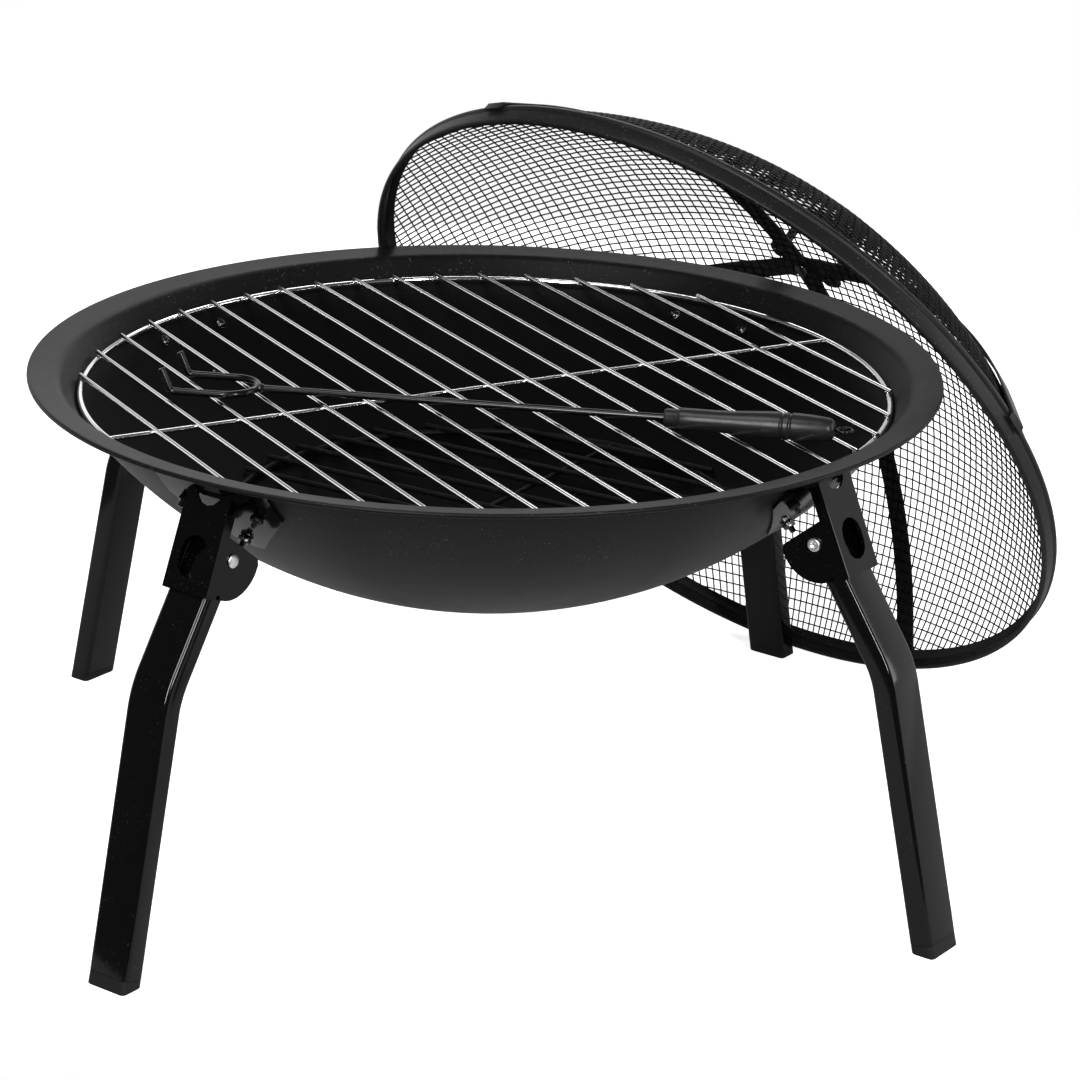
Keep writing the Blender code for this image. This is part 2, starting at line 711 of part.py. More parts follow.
def foot_cap_mesh():
    """Return the cap: a level sole, a thick plate and a plug inside the tube."""
    foot = leg_knee()[1]
    lower = Vector((math.sin(LEG_LOWER_SPLAY), -math.cos(LEG_LOWER_SPLAY)))
    plate = foot - lower * (foot_gap() - FIT)
    plug_width = LEG_WIDTH - 2.0 * (LEG_WALL + FIT)
    plug_depth = LEG_DEPTH - 2.0 * (LEG_WALL + FIT)
    plug_corner = max(LEG_CORNER - LEG_WALL - FIT, 0.0004)
    top = plate - lower * FOOT_PLUG
    sole = []
    for spot in tube_loop(foot, lower, LEG_WIDTH, LEG_DEPTH, LEG_CORNER):
        drop = (spot.z + PIVOT_HEIGHT) / lower.y
        sole.append(Vector((spot.x - lower.x * drop, spot.y, -PIVOT_HEIGHT)))
    loops = [sole, tube_loop(plate, lower, LEG_WIDTH, LEG_DEPTH, LEG_CORNER),
             tube_loop(plate, lower, plug_width, plug_depth, plug_corner),
             tube_loop(top, lower, plug_width, plug_depth, plug_corner)]
    return lofted("foot_cap", loops[::-1])


# Fasteners


def screw_mesh():
    """Return a bracket screw about Z; its origin is where it leaves the dish's outer side."""
    head = SCREW_HEAD / 2.0
    shank = SCREW_SHANK / 2.0
    seat = -BOWL_WALL - facet_depth() - FIT
    end = FIT + SHEET + FIT + NUT_HEIGHT + SCREW_TIP
    profile = [(0.0, seat - SCREW_HEAD_HEIGHT), (head * 0.72, seat - SCREW_HEAD_HEIGHT * 0.75), (head, seat),
               (shank, seat), (shank, end - shank * 0.4), (shank * 0.6, end), (0.0, end)]
    return turned("bracket_screw", profile, SCREW_SIDES)


def nut_mesh(name, flats, height, bore):
    """Return a hexagon nut on Z from zero up, with its six-sided bore and a chamfered top."""
    corner = flats / 2.0 / math.cos(math.pi / 6.0)
    inner = bore / math.cos(math.pi / 6.0)
    loops = []
    for reach, level in ((inner, 0.0), (corner, 0.0), (corner, height * 0.82), (corner * 0.9, height),
                         (inner, height)):
        loops.append([Vector((*spot, level)) for spot in arc((0.0, 0.0), reach, 0.0, 2.0 * math.pi, 6)[:-1]])
    return lofted(name, loops, closed=True)


def rivet_mesh():
    """Return the pivot rivet about Z, centred, headed at both ends."""
    shank = RIVET_SHANK / 2.0
    head = RIVET_HEAD / 2.0
    seat = CHANNEL_HALF + FIT
    rise = RIVET_HEAD_HEIGHT
    half = [(shank, seat), (head, seat), (head * 0.94, seat + rise * 0.5), (head * 0.6, seat + rise * 0.9),
            (0.0, seat + rise)]
    other = [(r, -z) for r, z in half[::-1]]
    return turned("pivot_rivet", other + half, HOLE_SIDES)


# Grates


def grate_ring_radius(height, wire):
    """Return the radius of the ring of wire that rests inside the dish at a height."""
    return wall_radius(height, INNER_CURVE - facet_depth() - FIT - wire / 2.0)


def ring_mesh(name, radius, wire, segments):
    """Return a ring of round wire about Z."""
    path = [(x, y, 0.0) for x, y in arc((0.0, 0.0), radius, 0.0, 2.0 * math.pi, segments)[:-1]]
    return rod(name, path, wire / 2.0, WIRE_SIDES, closed=True)


def bar_rise(wire, bar):
    """Return how far the middle of a grate's bars lies over the middle of its ring."""
    return wire / 2.0 + bar / 2.0 - WELD


def grate_mesh(name, ring, wire, segments, bar, spacing, count, overhang):
    """Return a welded grate: parallel bars along X on a ring, with one bar across under them."""
    rise = bar_rise(wire, bar)
    reach = ring + overhang
    half_count = (count - 1) / 2.0
    pieces = []
    for i in range(count):
        offset = (i - half_count) * spacing
        if abs(offset) < ring - BAR_PLAY:
            half = math.sqrt(reach ** 2 - offset ** 2)
            pieces.append(rod(name, [(-half, offset, rise), (half, offset, rise)], bar / 2.0, WIRE_SIDES))
    under = rise - bar + WELD
    pieces.append(rod(name, [(0.0, -ring, under), (0.0, ring, under)], bar / 2.0, WIRE_SIDES))
    return combined(ring_mesh(name, ring, wire, segments), pieces, "UNION")


# Poker


def fork_path():
    """Return the fork's middle line: prong, bend, U and prong, along X from its apex at zero."""
    half = FORK_SPACING / 2.0
    bend = FORK_TIP_BEND
    lean = FORK_TIP_LEAN
    turn = math.pi / 2.0 - lean
    prong = []
    setback = bend * math.tan(turn / 2.0)
    corner = Vector((-FORK_REACH, 0.0))
    rise = Vector((-math.sin(lean), math.cos(lean)))
    tip_length = FORK_TIP / math.cos(lean)
    prong.append(corner + rise * tip_length)
    start = corner + rise * setback
    prong.append(start)
    centre = corner + Vector((setback, bend))
    for i in range(1, 4):
        angle = -math.pi / 2.0 - turn * (1.0 - i / 4.0)
        prong.append(centre + Vector((math.cos(angle), math.sin(angle))) * bend)
    prong.append(corner + Vector((setback, 0.0)))
    near = [Vector((p.x, -half, p.y)) for p in prong]
    bow = [Vector((-half + half * math.cos(a), half * math.sin(a), 0.0))
           for a in [math.radians(-90.0 + 180.0 * i / 10.0) for i in range(11)]]
    far = [Vector((p.x, half, p.y)) for p in prong[::-1]]
    return near + bow + far


def handle_profile():
    """Return the turned handle's profile from its ferrule to its tail, as (radius, distance)."""
    length, belly = HANDLE_LENGTH, HANDLE_BELLY
    at = HANDLE_BELLY_AT
    end = HANDLE_GROOVES[-1] + HANDLE_GROOVE_WIDTH
    outline = [(belly * 0.72, 0.0), (belly * 0.86, 0.0010), (belly * 0.90, 0.0040), (belly * 0.97, at * 0.25),
               (belly * 0.955, at * 0.50), (belly * 0.975, at * 0.80), (belly, at)]
    for groove in HANDLE_GROOVES:
        for share, depth in ((0.0, 0.0), (0.27, HANDLE_GROOVE), (0.73, HANDLE_GROOVE), (1.0, 0.0)):
            outline.append((belly - depth, at + groove + HANDLE_GROOVE_WIDTH * share))
    rest = length - at - end
    outline += [(belly * 0.99, at + end + rest * 0.15), (belly * 0.93, at + end + rest * 0.50),
                (belly * 0.83, at + end + rest * 0.85), (belly * 0.62, length - 0.0010),
                (belly * 0.40, length)]
    return outline


def handle_mesh():
    """Return the handle about Z with the socket for the shaft in its lower end."""
    bore = POKER_ROD / 2.0 + FIT
    profile = [(0.0, HANDLE_SOCKET), (bore, HANDLE_SOCKET), (bore, 0.0)]
    profile += handle_profile() + [(0.0, HANDLE_LENGTH)]
    return turned("poker_handle", profile, 16)


# Lid, in its own frame: Z from the open side into the dome


def lid_band_line():
    """Return the middle line of the lid's band: inner lip, flat face and outer bead."""
    middle = LID_RADIUS - LID_BAND_SHEET / 2.0
    half = LID_BAND_SHEET / 2.0
    depth = LID_BAND_DEPTH
    return [(middle - LID_BAND_LIP, half), (middle - 0.0010, half + 0.0001), (middle - 0.0003, half + 0.0004),
            (middle, half + 0.0012), (middle, depth - 0.0046), (middle + LID_BEAD * 0.6, depth - 0.0036),
            (middle + LID_BEAD, depth - 0.0022), (middle + LID_BEAD * 0.7, depth - 0.0010),
            (middle - 0.0002, depth - 0.0002)]


def dome_curve():
    """Return the radius and centre height of the sphere that the mesh's middle lies on."""
    edge = LID_RADIUS - LID_BAND_SHEET - FIT - LID_SKIN / 2.0
    foot = LID_BAND_DEPTH - LID_MESH_LAP
    rise = LID_HEIGHT - foot
    radius = (edge ** 2 + rise ** 2) / (2.0 * rise)
    return radius, LID_HEIGHT - radius, edge


def lid_bore():
    """Return the radius of the bores for the rivet in the middle of the lid."""
    return LID_RIVET_SHANK / 2.0 + BORE_GAP


def circle(radius, sides):
    """Return a polygon round the origin, turned as the band's facets are."""
    return [Vector(spot) for spot in arc((0.0, 0.0), radius, 0.0, 2.0 * math.pi, sides)[:-1]]


def clipped(polygon, fence):
    """Return the part of a convex polygon inside a convex fence; both run anticlockwise."""
    for start, end in zip(fence, fence[1:] + fence[:1]):
        side = end - start
        depths = [side.cross(point - start) for point in polygon]
        kept = []
        for i, point in enumerate(polygon):
            before, depth = depths[i - 1], depths[i]
            if before * depth < 0.0:
                kept.append(polygon[i - 1].lerp(point, before / (before - depth)))
            if depth >= 0.0:
                kept.append(point)
        polygon = kept
    return polygon


def area(polygon):
    """Return the area of a flat polygon."""
    return 0.5 * sum(a.cross(b) for a, b in zip(polygon, polygon[1:] + polygon[:1]))


def mesh_openings(radius, limit):
    """Return the mesh's openings as seen from the middle of its sphere, on the plane at distance 1.

    The openings stand in rows along great circles, so that each looks square from outside; those
    at the rim are cut off by it.
    """
    pitch = 2.0 * limit / MESH_OPENINGS
    bar = MESH_BAR / radius
    fence = circle(math.tan(limit - MESH_RIM / radius), LID_SEGMENTS)
    edges = []
    for i in range(MESH_OPENINGS):
        low = -limit + i * pitch
        edges.append((math.tan(low + bar / 2.0), math.tan(low + pitch - bar / 2.0)))
    found = []
    for left, right in edges:
        for near, far in edges:
            whole = [Vector((left, near)), Vector((right, near)), Vector((right, far)), Vector((left, far))]
            opening = clipped(whole, fence)
            if len(opening) > 2 and area(opening) > MESH_SMALLEST * area(whole):
                found.append(opening)
    return found


def dome_mesh():
    """Return the dome of mesh as one thin shell with a grid of openings and the rivet's bore."""
    radius, centre, edge = dome_curve()
    limit = math.asin(edge / radius)
    loops = [circle(math.tan(limit), LID_SEGMENTS), circle(math.tan(lid_bore() / radius), HOLE_SIDES)]
    loops += mesh_openings(radius, limit)
    flat, outlines = [], []
    for loop in loops:
        outlines.append(list(range(len(flat), len(flat) + len(loop))))
        flat += loop
    flat, _, sheet, _, _, _ = delaunay_2d_cdt(flat, [], outlines, CDT_WITH_HOLES, 1e-6)
    rays = [Vector((*spot, 1.0)).normalized() for spot in flat]
    base = Vector((0.0, 0.0, centre))
    points = [base + ray * (radius + LID_SKIN / 2.0) for ray in rays]
    points += [base + ray * (radius - LID_SKIN / 2.0) for ray in rays]
    count = len(rays)
    sides = {}
    for face in sheet:
        for i, one in enumerate(face):
            sides[(one, face[(i + 1) % len(face)])] = face
    faces = [tuple(face) for face in sheet]
    faces += [tuple(count + i for i in reversed(face)) for face in sheet]
    faces += [(two, one, count + one, count + two) for one, two in sides if (two, one) not in sides]
    return make_mesh("lid_mesh", points, faces)


def strap_line(over):
    """Return a strap's middle line as (sideways, height), from one end over the top to the other."""
    radius, centre, edge = dome_curve()
    seat = LID_SKIN / 2.0 + FIT + STRAP_SHEET / 2.0
    side = LID_RADIUS + LID_BEAD + FIT + STRAP_SHEET / 2.0
    half = [(side, STRAP_END), (side, LID_BAND_DEPTH - STRAP_SHOULDER), (side - 0.0002, LID_BAND_DEPTH)]
    limit = math.asin(edge / radius)
    steps = 12
    for i in range(1, steps + 1):
        share = (1.0 - i / steps) ** 1.6
        angle = limit * 0.95 * share
        swell = STRAP_RISE * max(0.0, (share - 0.55) / 0.45) ** 2 * (1.0 - max(0.0, share - 0.9) * 2.0)
        beyond = max(0.0, radius * angle - STRAP_WIDTH)
        step = over * max(0.0, 1.0 - beyond / STRAP_WIDTH)
        reach = radius + seat + swell + step
        half.append((reach * math.sin(angle), centre + reach * math.cos(angle)))
    other = [(-x, z) for x, z in half[:-1]]
    return half + other[::-1]


def strap_mesh(name, over):
    """Return a strap over the dome, in the plane of X and Z."""
    line = strap_line(over)
    loops = []
    half = STRAP_WIDTH / 2.0
    for i, (x, z) in enumerate(line):
        before = Vector(line[max(i - 1, 0)])
        after = Vector(line[min(i + 1, len(line) - 1)])
        along = (after - before).normalized()
        out = Vector((-along.y, along.x)) * STRAP_SHEET / 2.0
        spots = ((x + out.x, z + out.y), (x - out.x, z - out.y))
        loops.append([Vector((spots[0][0], -half, spots[0][1])), Vector((spots[0][0], half, spots[0][1])),
                      Vector((spots[1][0], half, spots[1][1])), Vector((spots[1][0], -half, spots[1][1]))])
    strap = lofted(name, loops)
    low, high = LID_HEIGHT - 0.01, LID_HEIGHT + 0.01
    drill = turned("drill", [(0.0, low), (lid_bore(), low), (lid_bore(), high), (0.0, high)], HOLE_SIDES)
    return combined(strap, [drill], "DIFFERENCE")


def lid_stack():
    """Return the heights over the dome's top of the straps' outside and the handle plate's."""
    straps = LID_HEIGHT + LID_SKIN / 2.0 + 2.0 * (FIT + STRAP_SHEET)
    plate = straps + FIT + HANDLE_PLATE_SHEET
    return straps, plate


def handle_plate_mesh():
    """Return the flat plate over the straps' crossing with its three bores."""
    straps, top = lid_stack()
    low = straps + FIT
    edge = HANDLE_PLATE / 2.0
    plate = turned("lid_handle_plate", [(lid_bore(), low), (edge, low), (edge, top), (lid_bore(), top)], 28,
                   closed=True)
    bore = BAIL_STUD / 2.0 + BORE_GAP
    drill = turned("drill", [(0.0, low - 0.01), (bore, low - 0.01), (bore, top + 0.01), (0.0, top + 0.01)], 10)
    drills = [moved(drill, Matrix.Translation(spot)) for spot in bail_feet()]
    return combined(plate, drills, "DIFFERENCE")


def bail_feet():
    """Return where the bail's two feet stand."""
    along = Vector((math.cos(BAIL_ANGLE), math.sin(BAIL_ANGLE), 0.0)) * BAIL_SPAN / 2.0
    return along, -along


def bail_mesh():
    """Return the bail: a bent rod whose ends step down to studs; its origin is on the plate's top."""
    half = BAIL_SPAN / 2.0
    top = BAIL_HEIGHT - BAIL_ROD / 2.0
    corner = arc((half - BAIL_CORNER, top - BAIL_CORNER), BAIL_CORNER, 0.0, math.pi / 2.0, 5)
    right = [(half, 0.0, FIT)] + [(x, 0.0, z) for x, z in corner]
    arch = rod("lid_handle", right + [(-x, y, z) for x, y, z in right[::-1]], BAIL_ROD / 2.0, 10)
    end = -HANDLE_PLATE_SHEET - FIT - BAIL_NUT_HEIGHT - 0.0004
    studs = [rod("stud", [(side * half, 0.0, end), (side * half, 0.0, BAIL_ROD / 2.0)], BAIL_STUD / 2.0, 8)
             for side in (-1.0, 1.0)]
    return combined(arch, studs, "UNION")


def lid_rivet_mesh():
    """Return the rivet through mesh, straps and plate at the top of the lid."""
    plate = lid_stack()[1]
    shank, head, rise = LID_RIVET_SHANK / 2.0, LID_RIVET_HEAD / 2.0, LID_RIVET_HEAD_HEIGHT
    low = LID_HEIGHT - LID_SKIN / 2.0 - head ** 2 / (2.0 * dome_curve()[0]) - FIT
    high = plate + FIT
    profile = [(0.0, low - rise), (head * 0.8, low - rise * 0.7), (head, low), (shank, low), (shank, high),
               (head, high), (head * 0.8, high + rise * 0.7), (0.0, high + rise)]
    return turned("lid_rivet", profile, 14)


BLACK_PAINT = ((0.020, 0.020, 0.022), 0.42, 0.0)
HEAT_PAINT = ((0.035, 0.034, 0.034), 0.55, 0.0)
LEG_PAINT = ((0.012, 0.012, 0.013), 0.28, 0.0)
BRIGHT = ((0.80, 0.80, 0.80), 0.16, 1.0)
ZINC = ((0.70, 0.70, 0.72), 0.30, 1.0)
DARK_STEEL = ((0.10, 0.10, 0.11), 0.38, 1.0)
RUBBER = ((0.010, 0.010, 0.010), 0.60, 0.0)


def build_legs(root):
    """Place the brackets, legs, caps, rivets, screws and nuts at the four stations."""
    bracket, leg, cap = bracket_mesh(), leg_mesh(), foot_cap_mesh()
    rivet, screw = rivet_mesh(), screw_mesh()
    nut = nut_mesh("bracket_nut", NUT_FLATS, NUT_HEIGHT, SCREW_SHANK / 2.0 + BORE_GAP)
    nut_seat = Matrix.Translation((0, 0, FIT + SHEET + FIT))
    for station, azimuth in STATIONS.items():
        holder = empty("station_" + station, root, rotation=(0, 0, azimuth))
        pivot = (PIVOT_RADIUS, 0.0, PIVOT_HEIGHT)
        place("bracket_" + station, bracket, HEAT_PAINT, holder)
        place("pivot_rivet_" + station, rivet, ZINC, holder, pivot, (math.pi / 2.0, 0, 0))
        place("leg_" + station, leg, LEG_PAINT, holder, pivot)
        place("foot_cap_" + station, cap, RUBBER, holder, pivot)
        for label, point in zip(("left", "right", "lower"), screw_points()):
            frame = screw_frame(point)
            turn = frame.to_euler()
            place(f"screw_{station}_{label}", screw, ZINC, holder, point, turn)
            place(f"nut_{station}_{label}", nut, DARK_STEEL, holder, (frame @ nut_seat).translation, turn)


def build_grates(root):
    """Place the cooking grate and the charcoal grate."""
    height = LIP_TOP - COOK_DROP
    ring = grate_ring_radius(height, COOK_WIRE)
    cook = grate_mesh("cooking_grate", ring, COOK_WIRE, COOK_RING_SEGMENTS, COOK_BAR, COOK_BAR_SPACING,
                      COOK_BAR_COUNT, COOK_BAR_OVERHANG)
    place("cooking_grate", cook, BRIGHT, root, (0, 0, height), (0, 0, COOK_BAR_AZIMUTH))
    height = BOWL_BOTTOM + COAL_RISE
    ring = grate_ring_radius(height, COAL_WIRE)
    coal = grate_mesh("charcoal_grate", ring, COAL_WIRE, COAL_RING_SEGMENTS, COAL_BAR, COAL_BAR_SPACING,
                      COAL_BAR_COUNT, COAL_BAR_OVERHANG)
    place("charcoal_grate", coal, BLACK_PAINT, root, (0, 0, height), (0, 0, COAL_BAR_AZIMUTH))


def build_poker(root):
    """Place the poker across the cooking grate's bars."""
    bar_top = LIP_TOP - COOK_DROP + bar_rise(COOK_WIRE, COOK_BAR) + COOK_BAR / 2.0
    fork_rest = bar_top + FIT + POKER_ROD / 2.0
    belly_rest = bar_top + FIT + HANDLE_BELLY
    run = FORK_REACH + HANDLE_START + HANDLE_BELLY_AT
    pitch = math.asin((belly_rest - fork_rest) / run)
    apex_height = fork_rest + FORK_REACH * math.sin(pitch)
    holder = empty("poker_axis", root, (*POKER_APEX, apex_height), (0, -pitch, POKER_AZIMUTH))
    fork = rod("poker_fork", fork_path(), POKER_ROD / 2.0, 8)
    place("poker_fork", fork, BLACK_PAINT, holder)
    start = POKER_ROD / 2.0 + FIT
    end = HANDLE_START + HANDLE_SOCKET - FIT
    shaft = rod("poker_shaft", [(start, 0, 0), (end, 0, 0)], POKER_ROD / 2.0, 8)
    place("poker_shaft", shaft, BLACK_PAINT, holder)
    place("poker_handle", handle_mesh(), LEG_PAINT, holder, (HANDLE_START, 0, 0), (0, math.pi / 2.0, 0))
    eye = HANDLE_START + HANDLE_LENGTH + FIT + HANGER_WIRE / 2.0 + HANGER_RADIUS
    ring = ring_mesh("poker_hanger", HANGER_RADIUS, HANGER_WIRE, 14)
    place("poker_hanger", ring, BLACK_PAINT, holder, (eye, 0, 0))


def lid_frame(distance):
    """Return the lid's place when its axis point is at a distance from the bowl's axis."""
    turn = Matrix.Rotation(LID_AZIMUTH, 4, "Z")
    spot = Vector((distance, LID_SIDEWAYS, LID_RADIUS * math.sin(LID_TILT) + FIT))
    lean = Matrix.Rotation(LID_TILT, 4, "Y") @ Matrix.Rotation(math.pi / 2.0, 4, "Z")
    return turn @ Matrix.Translation(spot) @ lean


def tree_of(mesh, matrix):
    """Return a search tree of a mesh in a place."""
    return BVHTree.FromPolygons([matrix @ vertex.co for vertex in mesh.vertices],
                                [tuple(face.vertices) for face in mesh.polygons])


def lip_samples(bowl):
    """Return points close together along the edges of the rolled lip."""
    low = LIP_TOP - 3.0 * LIP_BEAD
    found = []
    for edge in bowl.edges:
        one, two = (bowl.vertices[i].co for i in edge.vertices)
        if min(one.z, two.z) > low:
            steps = max(1, int((one - two).length / BOWL_WALL))
            found += [one.lerp(two, i / steps) for i in range(steps)]
    return found


def lid_distance(bowl, band):
    """Return how close to the bowl's axis the lid comes when its band rests on the lip."""
    dish = tree_of(bowl, Matrix())
    samples = lip_samples(bowl)
    low, high = 0.0, LIP_RADIUS + LID_RADIUS
    while high - low > LID_SEAT_STEP:
        middle = 0.5 * (low + high)
        rim = tree_of(band, lid_frame(middle))
        clear = not rim.overlap(dish) and all(rim.find_nearest(spot, FIT)[0] is None for spot in samples)
        low, high = (low, middle) if clear else (middle, high)
    return high


def build_lid(root, bowl):
    """Place the lid so that its band stands on the floor and leans on the bowl's lip."""
    band = turned("lid_rim", sheet_profile(lid_band_line(), LID_BAND_SHEET), LID_SEGMENTS, closed=True)
    frame = lid_frame(lid_distance(bowl, band))
    holder = empty("lid_axis", root, frame.translation, frame.to_euler())
    place("lid_rim", band, HEAT_PAINT, holder)
    place("lid_mesh", dome_mesh(), BLACK_PAINT, holder)
    place("lid_strap_a", strap_mesh("lid_strap_a", 0.0), HEAT_PAINT, holder, rotation=(0, 0, STRAP_A_ANGLE))
    over = STRAP_SHEET + FIT
    place("lid_strap_b", strap_mesh("lid_strap_b", over), HEAT_PAINT, holder, rotation=(0, 0, STRAP_B_ANGLE))
    straps, plate = lid_stack()
    place("lid_handle_plate", handle_plate_mesh(), HEAT_PAINT, holder)
    place("lid_rivet", lid_rivet_mesh(), ZINC, holder)
    place("lid_handle", bail_mesh(), BLACK_PAINT, holder, (0, 0, plate), (0, 0, BAIL_ANGLE))
    nut = nut_mesh("bail_nut", BAIL_NUT_FLATS, BAIL_NUT_HEIGHT, BAIL_STUD / 2.0 + BORE_GAP)
    for label, spot in zip("ab", bail_feet()):
        place("lid_handle_nut_" + label, nut, ZINC, holder,
              spot + Vector((0, 0, straps - BAIL_NUT_HEIGHT)))


def build():
    """Build the whole object and put its origin under the middle of its box."""
    clear_scene()
    root = empty("fire_bowl_root", None)
    bowl = bowl_mesh()
    place("bowl", bowl, HEAT_PAINT, root)
    build_legs(root)
    build_grates(root)
    build_poker(root)
    build_lid(root, bowl)
    bpy.context.view_layer.update()
    corners = [piece.matrix_world @ vertex.co for piece in bpy.data.objects if piece.type == "MESH"
               for vertex in piece.data.vertices]
    low = Vector([min(c[i] for c in corners) for i in range(3)])
    high = Vector([max(c[i] for c in corners) for i in range(3)])
    root.location = (-(low.x + high.x) / 2.0, -(low.y + high.y) / 2.0, -low.z)
    bpy.context.view_layer.update()


build()
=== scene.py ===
"""Looks of a folding fire bowl: dish, legs, grates, poker and the mesh lid that leans on it.

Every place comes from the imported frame: the bowl's axis, the leg pivots and the lid's axis are read
from it, and the sizes below are the object's own, in metres.
"""

import json
import logging
import math
from dataclasses import dataclass, field
from enum import Enum
from functools import cache
from typing import Callable, Iterable, Sequence

import bmesh
import bpy
from mathutils import Matrix, Vector


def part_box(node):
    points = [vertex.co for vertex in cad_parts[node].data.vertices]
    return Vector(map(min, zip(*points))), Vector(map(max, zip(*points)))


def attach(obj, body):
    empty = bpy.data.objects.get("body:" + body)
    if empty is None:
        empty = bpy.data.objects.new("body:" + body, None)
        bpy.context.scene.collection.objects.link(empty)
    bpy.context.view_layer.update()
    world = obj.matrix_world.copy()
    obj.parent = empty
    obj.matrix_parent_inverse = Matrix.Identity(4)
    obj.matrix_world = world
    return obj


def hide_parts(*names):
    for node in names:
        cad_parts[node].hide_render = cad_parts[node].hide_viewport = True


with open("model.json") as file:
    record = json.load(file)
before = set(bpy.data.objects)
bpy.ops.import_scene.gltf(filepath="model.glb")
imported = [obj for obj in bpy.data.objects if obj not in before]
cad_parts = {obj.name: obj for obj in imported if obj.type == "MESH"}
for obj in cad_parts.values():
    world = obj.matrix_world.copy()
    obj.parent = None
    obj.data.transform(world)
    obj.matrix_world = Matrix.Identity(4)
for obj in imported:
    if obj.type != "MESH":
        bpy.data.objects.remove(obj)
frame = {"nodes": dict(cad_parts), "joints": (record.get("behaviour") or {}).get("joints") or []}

LOG = logging.getLogger("fire_bowl")
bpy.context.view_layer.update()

FIT = 0.0003
TINY = 1e-7
TURN = 2.0 * math.pi
QUARTER = math.pi / 2.0
HEXAGON = math.pi / 3.0
UP = Vector((0.0, 0.0, 1.0))

BOWL_LOW, BOWL_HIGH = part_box("bowl")
AXIS = Vector(((BOWL_LOW.x + BOWL_HIGH.x) / 2.0, (BOWL_LOW.y + BOWL_HIGH.y) / 2.0, 0.0))

Colour = tuple[float, float, float]
Profile = list[tuple[float, float]]
Edges = tuple[float, float]


# Node graphs


def operator(operation: str, flip: bool = False) -> Callable[["Signal", "Signal | float"], "Signal"]:
    """Make one of Signal's operators.

    Args:
        operation: The Math node's operation.
        flip: Whether the other operand comes first.

    Returns:
        The method.
    """
    def apply(self: "Signal", other: "Signal | float") -> "Signal":
        """Add the Math node."""
        return self.math(operation, other, flip)

    return apply


class Signal:
    """A socket of a node graph that takes arithmetic; each operator adds a Math node."""

    def __init__(self, graph: "Graph", socket: bpy.types.NodeSocket) -> None:
        """Wrap an output socket of a graph's node."""
        self.graph = graph
        self.socket = socket

    def math(self, operation: str, other: "Signal | float | None" = None, flip: bool = False) -> "Signal":
        """Apply a Math node.

        Args:
            operation: The Math node's operation.
            other: The second operand, if the operation takes one.
            flip: Whether the other operand comes first.

        Returns:
            The node's result.
        """
        operands = [self] if other is None else [self, other]
        if flip:
            operands.reverse()
        return self.graph.node("ShaderNodeMath", {"operation": operation}, dict(enumerate(operands)))

    __add__, __radd__ = operator("ADD"), operator("ADD", flip=True)
    __sub__, __rsub__ = operator("SUBTRACT"), operator("SUBTRACT", flip=True)
    __mul__, __rmul__ = operator("MULTIPLY"), operator("MULTIPLY", flip=True)
    __truediv__, __rtruediv__ = operator("DIVIDE"), operator("DIVIDE", flip=True)
    __pow__ = operator("POWER")
    __gt__ = operator("GREATER_THAN")

    def ramp(self, low: float, high: float) -> "Signal":
        """Rise smoothly from 0 at low to 1 at high."""
        return self.graph.node("ShaderNodeMapRange", {"interpolation_type": "SMOOTHSTEP"},
                               {"Value": self, "From Min": low, "From Max": high})


class Graph:
    """A node tree that is written as expressions."""

    def __init__(self, tree: bpy.types.NodeTree) -> None:
        """Take a node tree to fill."""
        self.tree = tree

    def node(self, kind: str, settings: dict | None = None, values: dict | None = None,
             output: int | str = 0) -> Signal:
        """Add a node.

        Args:
            kind: The node's type.
            settings: The node's own settings, which are set first.
            values: Numbers, signals or data for its input sockets, by name or place.
            output: The output socket that is wanted.

        Returns:
            That output.
        """
        made = self.tree.nodes.new(kind)
        for key, value in (settings or {}).items():
            setattr(made, key, value)
        for key, value in (values or {}).items():
            socket = made.inputs[key]
            if isinstance(value, Signal):
                self.tree.links.new(value.socket, socket)
            else:
                socket.default_value = value
        return Signal(self, made.outputs[output])

    def split(self, vector: Signal) -> tuple[Signal, Signal, Signal]:
        """Return a vector's X, Y and Z."""
        parts = self.node("ShaderNodeSeparateXYZ", None, {"Vector": vector}).socket.node
        return tuple(Signal(self, parts.outputs[axis]) for axis in "XYZ")

    def link(self, source: Signal, node: bpy.types.Node, name: str) -> None:
        """Join a signal to a node's input by name."""
        self.tree.links.new(source.socket, node.inputs[name])


@dataclass(frozen=True)
class Grain:
    """A noise: how far apart its blobs are in metres, its finer layers and how strong those are."""

    size: float
    layers: float = 2.0
    strength: float = 0.5


